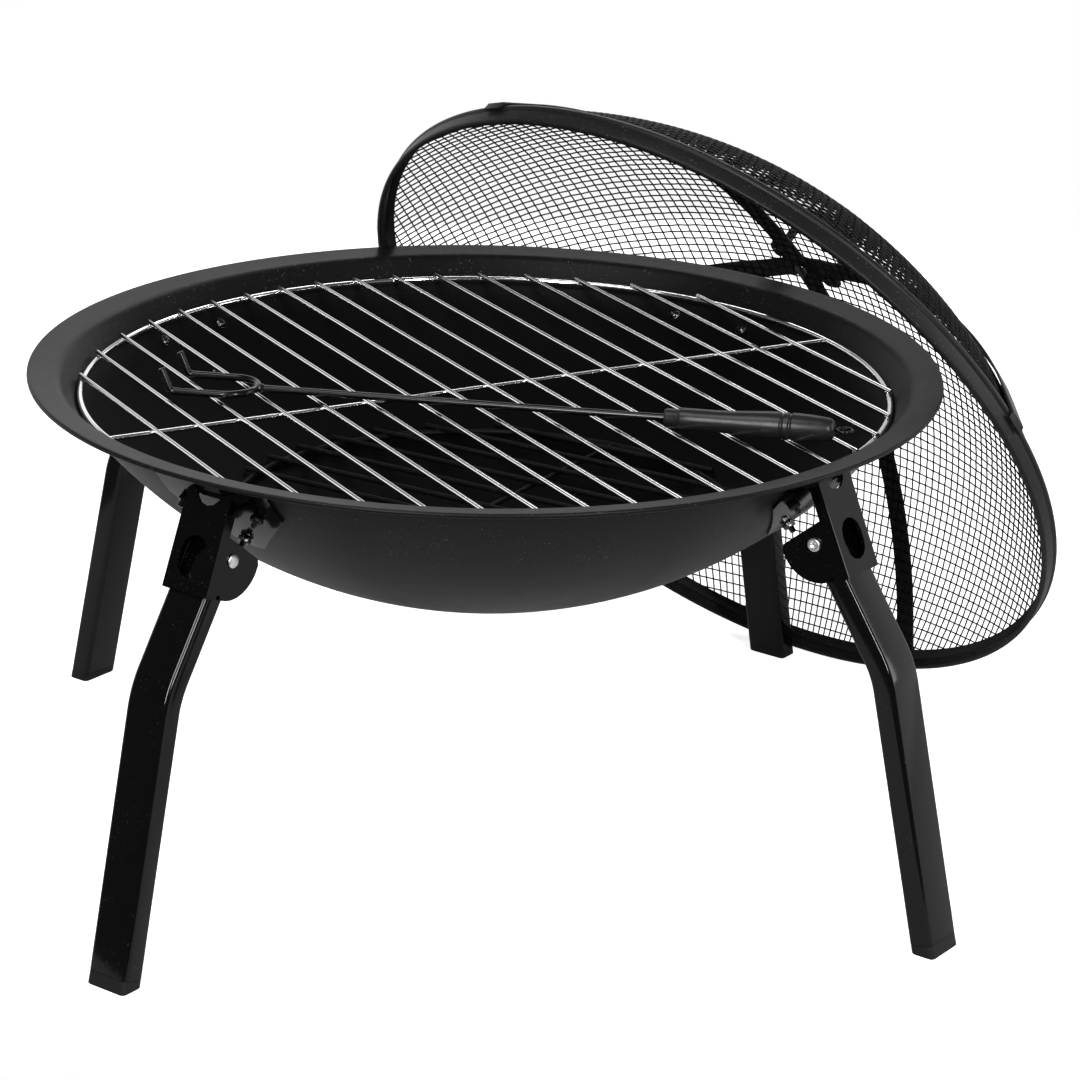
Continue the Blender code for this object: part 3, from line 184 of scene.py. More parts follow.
class Surface(Graph):
    """The node graph of one opaque material."""

    def __init__(self, name: str) -> None:
        """Start a material.

        Args:
            name: The material's name.
        """
        self.material = bpy.data.materials.new(name)
        self.material.use_nodes = True
        super().__init__(self.material.node_tree)
        self.shader = self.tree.nodes["Principled BSDF"]
        self.place = self.node("ShaderNodeTexCoord", output="Object")

    def noise(self, grain: Grain) -> Signal:
        """Return a noise on the object's own coordinates, about 0.5 in the middle."""
        return self.node("ShaderNodeTexNoise", None, {"Vector": self.place, "Scale": 1.0 / grain.size,
                                                      "Detail": grain.layers, "Roughness": grain.strength})

    def colour(self, share: Signal, low: "Colour | Signal", high: Colour) -> Signal:
        """Mix two colours.

        Args:
            share: How much of the second shows.
            low: The first colour, plain or varying.
            high: The second colour.

        Returns:
            The mixed colour.
        """
        first = low if isinstance(low, Signal) else (*low, 1.0)
        return self.node("ShaderNodeMix", {"data_type": "RGBA"},
                         {"Factor": share, 6: first, 7: (*high, 1.0)}, 2)

    def fix(self, name: str, value: float) -> None:
        """Set a constant on the shader's own socket."""
        self.shader.inputs[name].default_value = value

    def drive(self, name: str, source: Signal) -> None:
        """Join a varying value to the shader."""
        self.link(source, self.shader, name)

    def bump(self, height: Signal, depth: float) -> None:
        """Raise the surface by a height from 0 to 1, where 1 stands for a depth in metres."""
        relief = self.node("ShaderNodeBump", None, {"Height": height, "Distance": depth, "Strength": 1.0})
        self.drive("Normal", relief)


def scaled(colour: Colour, share: float) -> Colour:
    """Return a colour made lighter or darker by a share."""
    return tuple(min(1.0, channel * share) for channel in colour)


# Finishes


@dataclass(frozen=True)
class Paint:
    """Sprayed paint or powder coat on steel, with orange peel, faint cloudiness and dust specks."""

    name: str
    colour: Colour
    roughness: float
    specular: float = 0.5
    peel: float = 0.0016
    peel_depth: float = 0.00003
    dust: float = 0.35
    dusted: Colour = (0.16, 0.155, 0.15)
    cloud: Grain = Grain(0.09, 3.0, 0.55)
    grit: Grain = Grain(0.0012, 1.0, 0.4)
    rubbed: Grain = Grain(0.021, 4.0, 0.65)
    cloud_edges: Edges = (0.25, 0.75)
    grit_edges: Edges = (0.68, 0.76)
    rubbed_edges: Edges = (0.40, 0.60)
    shades: tuple[float, float] = (0.88, 1.14)
    cloud_swing: float = 0.10
    rubbed_swing: float = 0.08
    dust_swing: float = 0.25
    peel_share: float = 0.8

    def material(self) -> bpy.types.Material:
        """Return the paint as a material."""
        surface = Surface(self.name)
        cloud, grit, rubbed = (surface.noise(grain) for grain in (self.cloud, self.grit, self.rubbed))
        peel = surface.noise(Grain(self.peel))
        speck = grit.ramp(*self.grit_edges) * rubbed.ramp(*self.rubbed_edges) * self.dust
        dark, light = (scaled(self.colour, shade) for shade in self.shades)
        tone = surface.colour(cloud.ramp(*self.cloud_edges), dark, light)
        surface.drive("Base Color", surface.colour(speck, tone, self.dusted))
        surface.drive("Roughness", self.roughness + (cloud - 0.5) * self.cloud_swing
                      + (rubbed - 0.5) * self.rubbed_swing + speck * self.dust_swing)
        surface.fix("Specular IOR Level", self.specular)
        surface.bump(peel * self.peel_share + grit * (1.0 - self.peel_share), self.peel_depth)
        self.cover(surface)
        return surface.material

    def cover(self, surface: Surface) -> None:
        """Leave the paint bare."""


@dataclass(frozen=True)
class DishPaint(Paint):
    """The bowl's paint, with painted shade over the hollow side of the dish: a darker, duller copy of the
    paint that stands for the shade inside it.
    """

    centre: float = 0.4667
    curve: float = 0.3165
    skin: tuple[float, float] = (0.0010, 0.0003)
    flange: float = 0.2600
    fade: float = 0.022
    # painted shade: the hollow side of the dish is painted at this share of the paint's colour, rougher and
    # with less sheen
    painted_shade: float = 0.25
    painted_shade_roughness: float = 0.60
    painted_shade_specular: float = 0.05

    def cover(self, surface: Surface) -> None:
        """Lay painted shade over the paint inside the dish: a darker, duller copy of the paint for the shade
        in the hollow.

        Args:
            surface: The painted surface.
        """
        x, y, z = surface.split(surface.node("ShaderNodeVectorMath", {"operation": "SUBTRACT"},
                                             {0: surface.place, 1: (AXIS.x, AXIS.y, self.centre)}))
        across = x * x + y * y
        inner, outer = (self.curve - inset for inset in self.skin)
        hollow = 1.0 - (across + z * z).math("SQRT").ramp(inner, outer)
        below = 1.0 - across.math("SQRT").ramp(self.flange - self.fade, self.flange)
        # painted shade: a darker, duller copy of the paint, mixed in over the hollow side below the flange
        painted_shade = surface.node("ShaderNodeBsdfPrincipled", None,
                            {"Base Color": (*scaled(self.colour, self.painted_shade), 1.0),
                             "Roughness": self.painted_shade_roughness, "Specular IOR Level": self.painted_shade_specular})
        painted = Signal(surface, surface.shader.outputs["BSDF"])
        shaded_paint = surface.node("ShaderNodeMixShader", None, {0: hollow * below, 1: painted, 2: painted_shade})
        surface.link(shaded_paint, surface.tree.nodes["Material Output"], "Surface")


@dataclass(frozen=True)
class Plating:
    """Bright plating or bare metal on wire or hardware, with drawing lines and duller stains."""

    name: str
    colour: Colour
    roughness: float
    stain: Colour
    stain_share: float = 0.35
    line: float = 0.0007
    depth: float = 0.000006
    patch: Grain = Grain(0.016, 4.0, 0.6)
    patch_edges: Edges = (0.50, 0.72)
    stain_swing: float = 0.25
    line_swing: float = 0.08

    def material(self) -> bpy.types.Material:
        """Return the plating as a material."""
        surface = Surface(self.name)
        drawn = surface.noise(Grain(self.line))
        stain = surface.noise(self.patch).ramp(*self.patch_edges) * self.stain_share
        surface.drive("Base Color", surface.colour(stain, self.colour, self.stain))
        surface.drive("Roughness", self.roughness + stain * self.stain_swing
                      + (drawn - 0.5) * self.line_swing)
        surface.fix("Metallic", 1.0)
        surface.bump(drawn, self.depth)
        return surface.material


@dataclass(frozen=True)
class Moulding:
    """A hard black grip or cap with a fine matt grain and scuffs."""

    name: str
    colour: Colour
    roughness: float
    specular: float
    grain: Grain = Grain(0.0009, 3.0, 0.6)
    grain_depth: float = 0.00004
    scuff: Grain = Grain(0.011, 5.0, 0.7)
    scuff_edges: Edges = (0.58, 0.76)
    worn_share: float = 0.6
    worn_shade: float = 2.4
    worn_swing: float = 0.14
    grain_swing: float = 0.16

    def material(self) -> bpy.types.Material:
        """Return the moulding as a material."""
        surface = Surface(self.name)
        grain = surface.noise(self.grain)
        worn = surface.noise(self.scuff).ramp(*self.scuff_edges)
        paler = scaled(self.colour, self.worn_shade)
        surface.drive("Base Color", surface.colour(worn * self.worn_share, self.colour, paler))
        surface.drive("Roughness", self.roughness + worn * self.worn_swing + (grain - 0.5) * self.grain_swing)
        surface.fix("Specular IOR Level", self.specular)
        surface.bump(grain, self.grain_depth)
        return surface.material


Finish = Paint | Plating | Moulding

# the dish's paint carries painted shade over its hollow side
BOWL_PAINT = DishPaint("bowl_heat_paint", (0.0054, 0.0050, 0.0048), 0.38, 0.10, peel=0.0019, dust=0.5)
LID_PAINT = Paint("lid_heat_paint", (0.0070, 0.0067, 0.0065), 0.40, 0.15, peel=0.0019)
BRACKET_PAINT = Paint("bracket_powder_coat", (0.0010, 0.0010, 0.0011), 0.13, 0.20, 0.0022, 0.00001, dust=0.12)
LEG_PAINT = Paint("leg_powder_coat", (0.0010, 0.0010, 0.0011), 0.11, 0.28, 0.0024, 0.00001, dust=0.10)
ROD_PAINT = Paint("rod_paint", (0.0022, 0.0022, 0.0024), 0.20, 0.22, 0.0024, 0.000006, dust=0.12)
WIRE_PAINT = Paint("mesh_paint", (0.0020, 0.0020, 0.0020), 0.45, 0.12, 0.0008, 0.00001, dust=0.0)
COAL_PAINT = Paint("charcoal_grate_paint", (0.0024, 0.0023, 0.0022), 0.50, 0.10, 0.0012, 0.00003, dust=0.25)
CHROME = Plating("chrome_plate", (0.95, 0.95, 0.96), 0.07, (0.62, 0.60, 0.57), 0.15, 0.0030, 0.0000005)
ZINC = Plating("zinc_plate", (0.92, 0.92, 0.93), 0.32, (0.60, 0.59, 0.57), 0.4)
BLACKENED = Plating("blackened_steel", (0.060, 0.060, 0.064), 0.20, (0.16, 0.15, 0.14), 0.4)
GRIP = Moulding("turned_grip", (0.0085, 0.0085, 0.0095), 0.32, 0.27, Grain(0.0011, 3.0, 0.6), 0.00005)
SOLE = Moulding("foot_plastic", (0.0040, 0.0040, 0.0040), 0.50, 0.20)


@cache
def dressed(finish: Finish) -> bpy.types.Material:
    """Return a finish's material, made once."""
    return finish.material()


# Shapes


@dataclass
class Shape:
    """Points and faces of one closed surface, which can be placed and added to."""

    points: list[Vector] = field(default_factory=list)
    faces: list[tuple[int, ...]] = field(default_factory=list)

    def add(self, other: "Shape") -> "Shape":
        """Take in another shape.

        Args:
            other: The shape that is added.

        Returns:
            This shape.
        """
        start = len(self.points)
        self.points += other.points
        self.faces += [tuple(start + i for i in face) for face in other.faces]
        return self

    def placed(self, matrix: Matrix) -> "Shape":
        """Return a copy in another place."""
        return Shape([matrix @ point for point in self.points], list(self.faces))

    def mesh(self, name: str, crease: float = 38.0) -> bpy.types.Mesh:
        """Return the shape as a smooth mesh with its faces outwards.

        Args:
            name: The mesh's name.
            crease: Edges that bend more than this many degrees stay sharp.

        Returns:
            The mesh.
        """
        mesh = bpy.data.meshes.new(name)
        mesh.from_pydata(self.points, [], self.faces)
        cleaned = bmesh.new()
        cleaned.from_mesh(mesh)
        bmesh.ops.remove_doubles(cleaned, verts=cleaned.verts, dist=TINY)
        bmesh.ops.recalc_face_normals(cleaned, faces=cleaned.faces)
        cleaned.to_mesh(mesh)
        cleaned.free()
        mesh.shade_smooth()
        mesh.set_sharp_from_angle(angle=math.radians(crease))
        return mesh


def spaced(start: float, end: float, steps: int) -> list[float]:
    """Return evenly spaced values, both ends included."""
    return [start + (end - start) * i / steps for i in range(steps + 1)]


def turned(radius: float, angle: float, height: float) -> Vector:
    """Return the point at a radius, angle and height about Z."""
    return Vector((radius * math.cos(angle), radius * math.sin(angle), height))


def arc(centre: tuple[float, float], radius: float, start: float, end: float, steps: int) -> Profile:
    """Return the points of an arc, both ends included."""
    return [(centre[0] + radius * math.cos(a), centre[1] + radius * math.sin(a))
            for a in spaced(start, end, steps)]


def loft(loops: Sequence[Sequence[Vector]], closed: bool = False) -> Shape:
    """Join equal loops of points.

    Args:
        loops: The loops, one after the other.
        closed: Whether the last loop joins the first; otherwise the ends get flat faces.

    Returns:
        The shape.
    """
    count = len(loops[0])
    shape = Shape([Vector(point) for loop in loops for point in loop])
    rows = len(loops) if closed else len(loops) - 1
    for row in range(rows):
        low = row * count
        high = (row + 1) % len(loops) * count
        for col in range(count):
            after = (col + 1) % count
            shape.faces.append((low + col, low + after, high + after, high + col))
    if not closed:
        shape.faces.append(tuple(reversed(range(count))))
        shape.faces.append(tuple(range(len(shape.points) - count, len(shape.points))))
    return shape


def part_turn(profile: Profile, segments: int, start: float, sweep: float) -> Shape:
    """Turn a closed profile part of the way about Z, which leaves two flat ends.

    Args:
        profile: Points of (radius, height).
        segments: How many steps the turn has.
        start: The angle where the turn starts.
        sweep: How far it turns.

    Returns:
        The turned shape.
    """
    angles = [start + sweep * step / segments for step in range(segments + 1)]
    return loft([[turned(radius, angle, height) for radius, height in profile] for angle in angles])


def lathe(profile: Profile, segments: int, closed: bool = False) -> Shape:
    """Turn a profile about Z.

    Args:
        profile: Points of (radius, height).
        segments: How many steps the turn has.
        closed: Whether the profile is a loop.

    Returns:
        The turned shape.
    """
    shape = Shape()
    rings: list[list[int]] = []
    for radius, height in profile:
        steps = 1 if radius < TINY else segments
        rings.append(list(range(len(shape.points), len(shape.points) + steps)))
        shape.points += [turned(radius, TURN * step / segments, height) for step in range(steps)]
    for low, high in zip(rings, rings[1:] + rings[:1] if closed else rings[1:]):
        for step in range(segments):
            after = (step + 1) % segments
            corners = (low[step % len(low)], low[after % len(low)], high[after % len(high)],
                       high[step % len(high)])
            face = tuple(dict.fromkeys(corners))
            if len(face) > 2:
                shape.faces.append(face)
    return shape


def rod(path: Sequence[Vector], radii: Sequence[float], sides: int, closed: bool = False) -> Shape:
    """Run a round rod along a path without twist.

    Args:
        path: The middle line.
        radii: The rod's radius at each point.
        sides: How many sides the rod has.
        closed: Whether the path is a ring.

    Returns:
        The rod.
    """
    count = len(path)
    angles = spaced(0.0, TURN, sides)[:-1]
    side = None
    loops = []
    for i, point in enumerate(path):
        before = path[i - 1] if i > 0 or closed else path[0]
        after = path[(i + 1) % count] if i < count - 1 or closed else path[-1]
        along = (after - before).normalized()
        if side is None:
            side = along.orthogonal()
        side = (side - along * side.dot(along)).normalized()
        other = along.cross(side)
        loops.append([point + radii[i] * (math.cos(a) * side + math.sin(a) * other) for a in angles])
    return loft(loops, closed)


def sheet_outline(line: Profile, thickness: float) -> Profile:
    """Return the outline of a sheet of even thickness about a line, with rounded edges.

    Args:
        line: The sheet's middle line.
        thickness: The sheet's thickness.

    Returns:
        The closed outline.
    """
    half = thickness / 2.0
    left, right = [], []
    for i, point in enumerate(line):
        before, after = Vector(line[max(i - 1, 0)]), Vector(line[min(i + 1, len(line) - 1)])
        along = (after - before).normalized()
        normal = Vector((-along.y, along.x))
        left.append(tuple(Vector(point) + normal * half))
        right.append(tuple(Vector(point) - normal * half))
    ends = []
    for tip, inner in ((line[-1], line[-2]), (line[0], line[1])):
        along = (Vector(tip) - Vector(inner)).normalized()
        turn = math.atan2(along.y, along.x)
        ends.append(arc(tip, half, turn - QUARTER, turn + QUARTER, 6)[1:-1])
    return right + ends[0] + left[::-1] + ends[1]


def rounded_rectangle(width: float, depth: float, corner: float, steps: int = 5) -> Profile:
    """Return a rectangle with rounded corners.

    Args:
        width: Its size along the second coordinate.
        depth: Its size along the first coordinate.
        corner: The radius of its corners.
        steps: How many steps each corner has.

    Returns:
        Points of (across the depth, along the width).
    """
    outline: Profile = []
    for sign_x, sign_y, quarter in ((1, 1, 0.0), (-1, 1, 0.5), (-1, -1, 1.0), (1, -1, 1.5)):
        middle = (sign_x * (depth / 2.0 - corner), sign_y * (width / 2.0 - corner))
        outline += arc(middle, corner, quarter * math.pi, (quarter + 0.5) * math.pi, steps)
    return outline


# Pieces


def linked(name: str, data: bpy.types.ID) -> bpy.types.Object:
    """Link a new object into the scene.

    Args:
        name: The object's name.
        data: Its mesh, lamp or camera.

    Returns:
        The object.
    """
    made = bpy.data.objects.new(name, data)
    bpy.context.scene.collection.objects.link(made)
    return made


def settled(holder: bpy.types.Object, name: str) -> bpy.types.Mesh:
    """Work an object's modifiers into a plain mesh and remove the object.

    Args:
        holder: The object.
        name: The mesh's name.

    Returns:
        The mesh.
    """
    depsgraph = bpy.context.evaluated_depsgraph_get()
    mesh = bpy.data.meshes.new_from_object(holder.evaluated_get(depsgraph), depsgraph=depsgraph)
    mesh.name = name
    bpy.data.objects.remove(holder, do_unlink=True)
    return mesh


def show(name: str, mesh: bpy.types.Mesh, finish: Finish, body: str, nodes: Iterable[str]) -> None:
    """Link a finished piece and give it to its body.

    Args:
        name: The piece's name.
        mesh: Its mesh, in place.
        finish: Its finish.
        body: The body it moves with.
        nodes: The solids it stands for.
    """
    mesh.materials.clear()
    mesh.materials.append(dressed(finish))
    mesh.polygons.foreach_set("material_index", [0] * len(mesh.polygons))
    piece = linked(name, mesh)
    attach(piece, body)
    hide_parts(*nodes)
    LOG.info("%s rides on %s, %d faces", name, body, len(mesh.polygons))


class Kind(Enum):
    """What a tree's named input takes."""

    NUMBER = "NodeSocketFloat"
    COUNT = "NodeSocketInt"
    OBJECT = "NodeSocketObject"
    FINISH = "NodeSocketMaterial"


class Tree(Graph):
    """A Geometry Nodes tree with named inputs that ends in plain geometry of one material."""

    def __init__(self, name: str, inputs: dict[Kind, Sequence[str]]) -> None:
        """Start a tree.

        Args:
            name: The tree's name.
            inputs: The names of its inputs, by what they take.
        """
        super().__init__(bpy.data.node_groups.new(name, "GeometryNodeTree"))
        face = self.tree.interface
        face.new_socket("Geometry", in_out="INPUT", socket_type="NodeSocketGeometry")
        for kind, labels in {**inputs, Kind.FINISH: ("Finish",)}.items():
            for label in labels:
                face.new_socket(label, in_out="INPUT", socket_type=kind.value)
        face.new_socket("Geometry", in_out="OUTPUT", socket_type="NodeSocketGeometry")
        self.entry = self.tree.nodes.new("NodeGroupInput")

    def value(self, name: str) -> Signal:
        """Return a named input."""
        return Signal(self, self.entry.outputs[name])

    def vector(self, x: Signal | float, y: Signal | float, z: Signal | float) -> Signal:
        """Return a vector of three values."""
        return self.node("ShaderNodeCombineXYZ", None, {"X": x, "Y": y, "Z": z})

    def moved(self, geometry: Signal, place: Signal) -> Signal:
        """Return geometry with its points moved to a place."""
        return self.node("GeometryNodeSetPosition", None, {"Geometry": geometry, "Position": place})

    def rows(self, wide: Signal | float, long: Signal | float, counts: tuple[Signal | int, Signal | int],
             across: str) -> Signal:
        """Return the parallel lines of a grid.

        Args:
            wide: The grid's size along X.
            long: The grid's size along Y.
            counts: How many points it has along X and Y.
            across: The axis, "X" or "Y", along which its edges are left out.

        Returns:
            The lines.
        """
        grid = self.node("GeometryNodeMeshGrid", None, {"Size X": wide, "Size Y": long,
                                                        "Vertices X": counts[0], "Vertices Y": counts[1]})
        ends = [self.node("GeometryNodeInputMeshEdgeVertices", output="Position " + end) for end in "12"]
        first, second = (self.node("ShaderNodeSeparateXYZ", None, {"Vector": end}, across) for end in ends)
        stray = (first - second).math("ABSOLUTE") > 0.0001
        return self.node("GeometryNodeDeleteGeometry", {"domain": "EDGE", "mode": "EDGE_FACE"},
                         {"Geometry": grid, "Selection": stray})

    def tube(self, curve: Signal, radius: Signal | float, sides: int) -> Signal:
        """Run a round profile along curves.

        Args:
            curve: The curves.
            radius: The tube's radius.
            sides: How many sides it has.

        Returns:
            The tubes.
        """
        ring = self.node("GeometryNodeCurvePrimitiveCircle", {"mode": "RADIUS"},
                         {"Resolution": sides, "Radius": radius})
        return self.node("GeometryNodeCurveToMesh", None,
                         {"Curve": curve, "Profile Curve": ring, "Fill Caps": True})

    def wires(self, lines: Signal, radius: Signal | float, sides: int) -> Signal:
        """Return tubes along a mesh's lines."""
        return self.tube(self.node("GeometryNodeMeshToCurve", None, {"Mesh": lines}), radius, sides)

    def join(self, *parts: Signal) -> Signal:
        """Join geometries.

        Args:
            parts: The geometries.

        Returns:
            All of them as one.
        """
        joined = self.tree.nodes.new("GeometryNodeJoinGeometry")
        for part in parts:
            self.tree.links.new(part.socket, joined.inputs[0])
        return Signal(self, joined.outputs[0])

    def close(self, geometry: Signal) -> "Tree":
        """End the tree: realize, shade smooth and give the finish.

        Args:
            geometry: What the tree has made.

        Returns:
            The tree.
        """
        plain = self.node("GeometryNodeRealizeInstances", None, {"Geometry": geometry})
        smooth = self.node("GeometryNodeSetShadeSmooth", None, {"Geometry": plain})
        finished = self.node("GeometryNodeSetMaterial", None,
                             {"Geometry": smooth, "Material": self.value("Finish")})
        self.link(finished, self.tree.nodes.new("NodeGroupOutput"), "Geometry")
        return self

    def grow(self, name: str, finish: Finish, values: dict,
             source: bpy.types.Mesh | None = None) -> bpy.types.Mesh:
        """Run the tree and keep its result as a plain mesh.

        Args:
            name: The mesh's name.
            finish: The finish it gives.
            values: A value for each other named input.
            source: The mesh the tree works on, if any.

        Returns:
            The mesh.
        """
        given = {**values, "Finish": dressed(finish)}
        holder = linked(name + "_holder", source or bpy.data.meshes.new(name + "_source"))
        modifier = holder.modifiers.new("grow", "NODES")
        modifier.node_group = self.tree
        for item in self.tree.interface.items_tree:
            if item.in_out == "INPUT" and item.name in given:
                modifier[item.identifier] = given[item.name]
        return settled(holder, name)


def fastener_tree() -> Tree:
    """Return the tree that sets one fastener on every point, along the point's own axis."""
    tree = Tree("fasteners", {Kind.OBJECT: ("Fastener",), Kind.COUNT: ("Seed",)})
    template = tree.node("GeometryNodeObjectInfo", None, {"Object": tree.value("Fastener")}, "Geometry")
    axis = tree.node("GeometryNodeInputNamedAttribute", {"data_type": "FLOAT_VECTOR"}, {"Name": "axis"})
    facing = tree.node("FunctionNodeAlignRotationToVector", {"axis": "Z"}, {"Vector": axis})
    spin = tree.node("FunctionNodeRandomValue", {"data_type": "FLOAT"},
                     {2: 0.0, 3: HEXAGON, "Seed": tree.value("Seed")}, 1)
    aligned = tree.node("FunctionNodeRotateRotation", {"rotation_space": "LOCAL"},
                        {"Rotation": facing, "Rotate By": tree.vector(0.0, 0.0, spin)})
    return tree.close(tree.node("GeometryNodeInstanceOnPoints", None,
                                {"Points": tree.value("Geometry"), "Instance": template,
                                 "Rotation": aligned}))


@dataclass
class Fasteners:
    """A set of equal fasteners, each about its own axis: (place, axis) pairs, and the seed of their spin."""

    name: str
    template: Shape
    spots: Sequence[tuple[Vector, Vector]]
    seed: int
    finish: Plating
    slot: str
    nodes: Iterable[str]

    def build(self, body: str) -> None:
        """Make them all as one piece.

        Args:
            body: The body they move with.
        """
        carrier = bpy.data.meshes.new(self.name + "_spots")
        carrier.from_pydata([spot for spot, _ in self.spots], [], [])
        axis = carrier.attributes.new("axis", "FLOAT_VECTOR", "POINT")
        axis.data.foreach_set("vector", [value for _, way in self.spots for value in way])
        pattern = linked(self.name + "_pattern", self.template.mesh(self.name + "_pattern"))
        values = {"Fastener": pattern, "Seed": self.seed}
        mesh = fastener_tree().grow(self.name, self.finish, values, carrier)
        bpy.data.objects.remove(pattern, do_unlink=True)
        show(self.name, mesh, self.finish, body, self.nodes)


# Bowl


@dataclass
class Bowl:
    """The pressed dish: a sphere's cap, a fillet, a sloping flange and a rolled lip."""

    lip_radius: float = 0.2800
    lip_top: float = 0.2926
    curve: float = 0.3165
    bottom: float = 0.1502
    wall: float = 0.0012
    slope: float = math.radians(8.5)
    fillet: float = 0.0080
    bead: float = 0.0030
    roll: float = math.radians(200.0)
    segments: int = 288
    dish_steps: int = 44
    fillet_steps: int = 10
    roll_steps: int = 14
    halvings: int = 60
    crease: float = 50.0

    @property
    def centre(self) -> float:
        """The height of the sphere's centre."""
        return self.bottom + self.curve

    def flange_height(self, radius: float) -> float:
        """Return the height of the flange's middle at a radius."""
        return self.lip_top - self.wall / 2.0 - (self.lip_radius - radius) * math.tan(self.slope)

    def fillet_centre(self) -> tuple[float, float]:
        """Return the centre of the fillet between dish and flange, found by halving."""
        reach = self.curve - self.wall / 2.0 + self.fillet
        low, high = 0.5 * self.lip_radius, 1.2 * self.lip_radius
        for _ in range(self.halvings):
            radius = 0.5 * (low + high)
            height = self.flange_height(radius) - self.fillet / math.cos(self.slope)
            if math.hypot(radius, height - self.centre) < reach:
                low = radius
            else:
                high = radius
        return radius, height

    def line(self) -> Profile:
        """Return the sheet's middle line from the bottom out to the rolled lip."""
        middle = self.curve - self.wall / 2.0
        centre = self.fillet_centre()
        contact = math.atan2(centre[0], self.centre - centre[1])
        top = QUARTER + self.slope
        line = [(middle * math.sin(a), self.centre - middle * math.cos(a))
                for a in spaced(0.0, contact, self.dish_steps)[:-1]]
        line += arc(centre, self.fillet, QUARTER + contact, top, self.fillet_steps)
        hollow = (self.bead - self.wall) / 2.0
        radius = self.lip_radius - self.bead / 2.0
        lip = arc((radius, self.flange_height(radius) - hollow / math.cos(self.slope)), hollow, top,
                  top - self.roll, self.roll_steps)
        (near, low), (far, high) = line[-1], lip[0]
        line += [(near + (far - near) * share, low + (high - low) * share) for share in (0.25, 0.5, 0.75)]
        return line + lip

    def build(self) -> None:
        """Make the dish, with its middle points set on the axis."""
        floor = self.bottom + 2.0 * self.wall
        outline = [(0.0 if abs(radius) < self.wall * 0.6 and height < floor else radius, height)
                   for radius, height in sheet_outline(self.line(), self.wall)]
        dish = lathe(outline, self.segments, closed=True).placed(Matrix.Translation(AXIS))
        show("fire_bowl_dish", dish.mesh("fire_bowl_dish", self.crease), BOWL_PAINT, "stand",
             ["bowl"])


# Stations: brackets, legs, caps, rivets, screws and nuts


@dataclass(frozen=True)
class Station:
    """One of the four places where a leg is hung, with its own frame: X out, Y sideways."""

    name: str
    pivot: Vector
    sideways: Vector

    @property
    def place(self) -> Matrix:
        """The matrix from the station's frame at the pivot to the object's frame."""
        turn = Matrix((self.sideways.cross(UP), self.sideways, UP)).transposed().to_4x4()
        return Matrix.Translation(self.pivot) @ turn


def read_stations() -> list[Station]:
    """Return the four stations from the frame's leg hinges."""
    return [Station(joint["child"].removeprefix("leg_"), Vector(joint["pos_m"]), Vector(joint["axis"]))
            for joint in frame["joints"] if joint["type"] == "hinge"]


@dataclass
class Leg:
    """A bent rectangular tube with a cap under it."""

    width: float = 0.0290
    depth: float = 0.0150
    wall: float = 0.0012
    corner: float = 0.0028
    least_corner: float = 0.0005
    upper_splay: float = math.radians(34.0)
    lower_splay: float = math.radians(13.0)
    foot_out: float = 0.0938
    bend: float = 0.0600
    bend_steps: int = 14
    head: float = 0.0088
    cap: float = 0.0050
    cap_inset: float = 0.0001
    cap_crease: float = 30.0
    sole_share: float = 0.96
    rim: float = 0.0006
    plug: float = 0.008

    def direction(self, splay: float) -> Vector:
        """Return the way down at a splay from the vertical."""
        return Vector((math.sin(splay), 0.0, -math.cos(splay)))

    def path(self, height: float) -> list[tuple[Vector, Vector]]:
        """Return the tube's middle line from the pivot.

        Args:
            height: How high the pivot is over the floor.

        Returns:
            Pairs of (point, way down) from the head to the cap.
        """
        foot = Vector((self.foot_out - self.depth / 2.0 / math.cos(self.lower_splay), 0.0, -height))
        upper, lower = self.direction(self.upper_splay), self.direction(self.lower_splay)
        slopes = math.tan(self.upper_splay), math.tan(self.lower_splay)
        drop = (foot.x - height * slopes[1]) / (slopes[0] - slopes[1])
        knee = Vector((drop * slopes[0], 0.0, -drop))
        setback = self.bend * math.tan((self.upper_splay - self.lower_splay) / 2.0)
        centre = knee - upper * setback + Vector((upper.z, 0.0, -upper.x)) * self.bend
        ways = [self.direction(splay)
                for splay in spaced(self.upper_splay, self.lower_splay, self.bend_steps)]
        pairs = [(-upper * self.head, upper)]
        pairs += [(centre + Vector((-way.z, 0.0, way.x)) * self.bend, way) for way in ways]
        gap = self.depth / 2.0 * math.tan(self.lower_splay) + self.cap + FIT
        return pairs + [(foot - lower * gap, lower)]

    def section(self, point: Vector, way: Vector, inset: float = 0.0) -> list[Vector]:
        """Return the tube's section at a point.

        Args:
            point: The middle of the section.
            way: The way down there.
            inset: How far inside the outer face it lies.

        Returns:
            The section's loop.
        """
        out = Vector((-way.z, 0.0, way.x))
        outline = rounded_rectangle(self.width - 2.0 * inset, self.depth - 2.0 * inset,
                                    max(self.corner - inset, self.least_corner))
        return [point + out * x + Vector((0.0, y, 0.0)) for x, y in outline]

    def tube(self, height: float) -> Shape:
        """Return the open tube about the pivot.

        Args:
            height: How high the pivot is over the floor.

        Returns:
            The tube.
        """
        pairs = self.path(height)
        outer = [self.section(point, way) for point, way in pairs]
        inner = [self.section(point, way, self.wall) for point, way in pairs]
        return loft(outer + inner[::-1], closed=True)

    def foot(self, height: float) -> Shape:
        """Return the cap with its level sole, eased rim and plug.

        Args:
            height: How high the pivot is over the floor.

        Returns:
            The cap.
        """
        end, way = self.path(height)[-1]
        top = end + way * FIT
        sole = [spot + way * ((-height - spot.z) / way.z) for spot in self.section(end, way)]
        middle = sum(sole, Vector()) / len(sole)
        inner = [middle + (spot - middle) * self.sole_share for spot in sole]
        rim = [spot + Vector((0.0, 0.0, self.rim)) for spot in sole]
        plug = [self.section(top - way * rise, way, self.wall + FIT) for rise in (0.0, self.plug)]
        return loft([inner, rim, self.section(top, way, self.cap_inset), *plug])


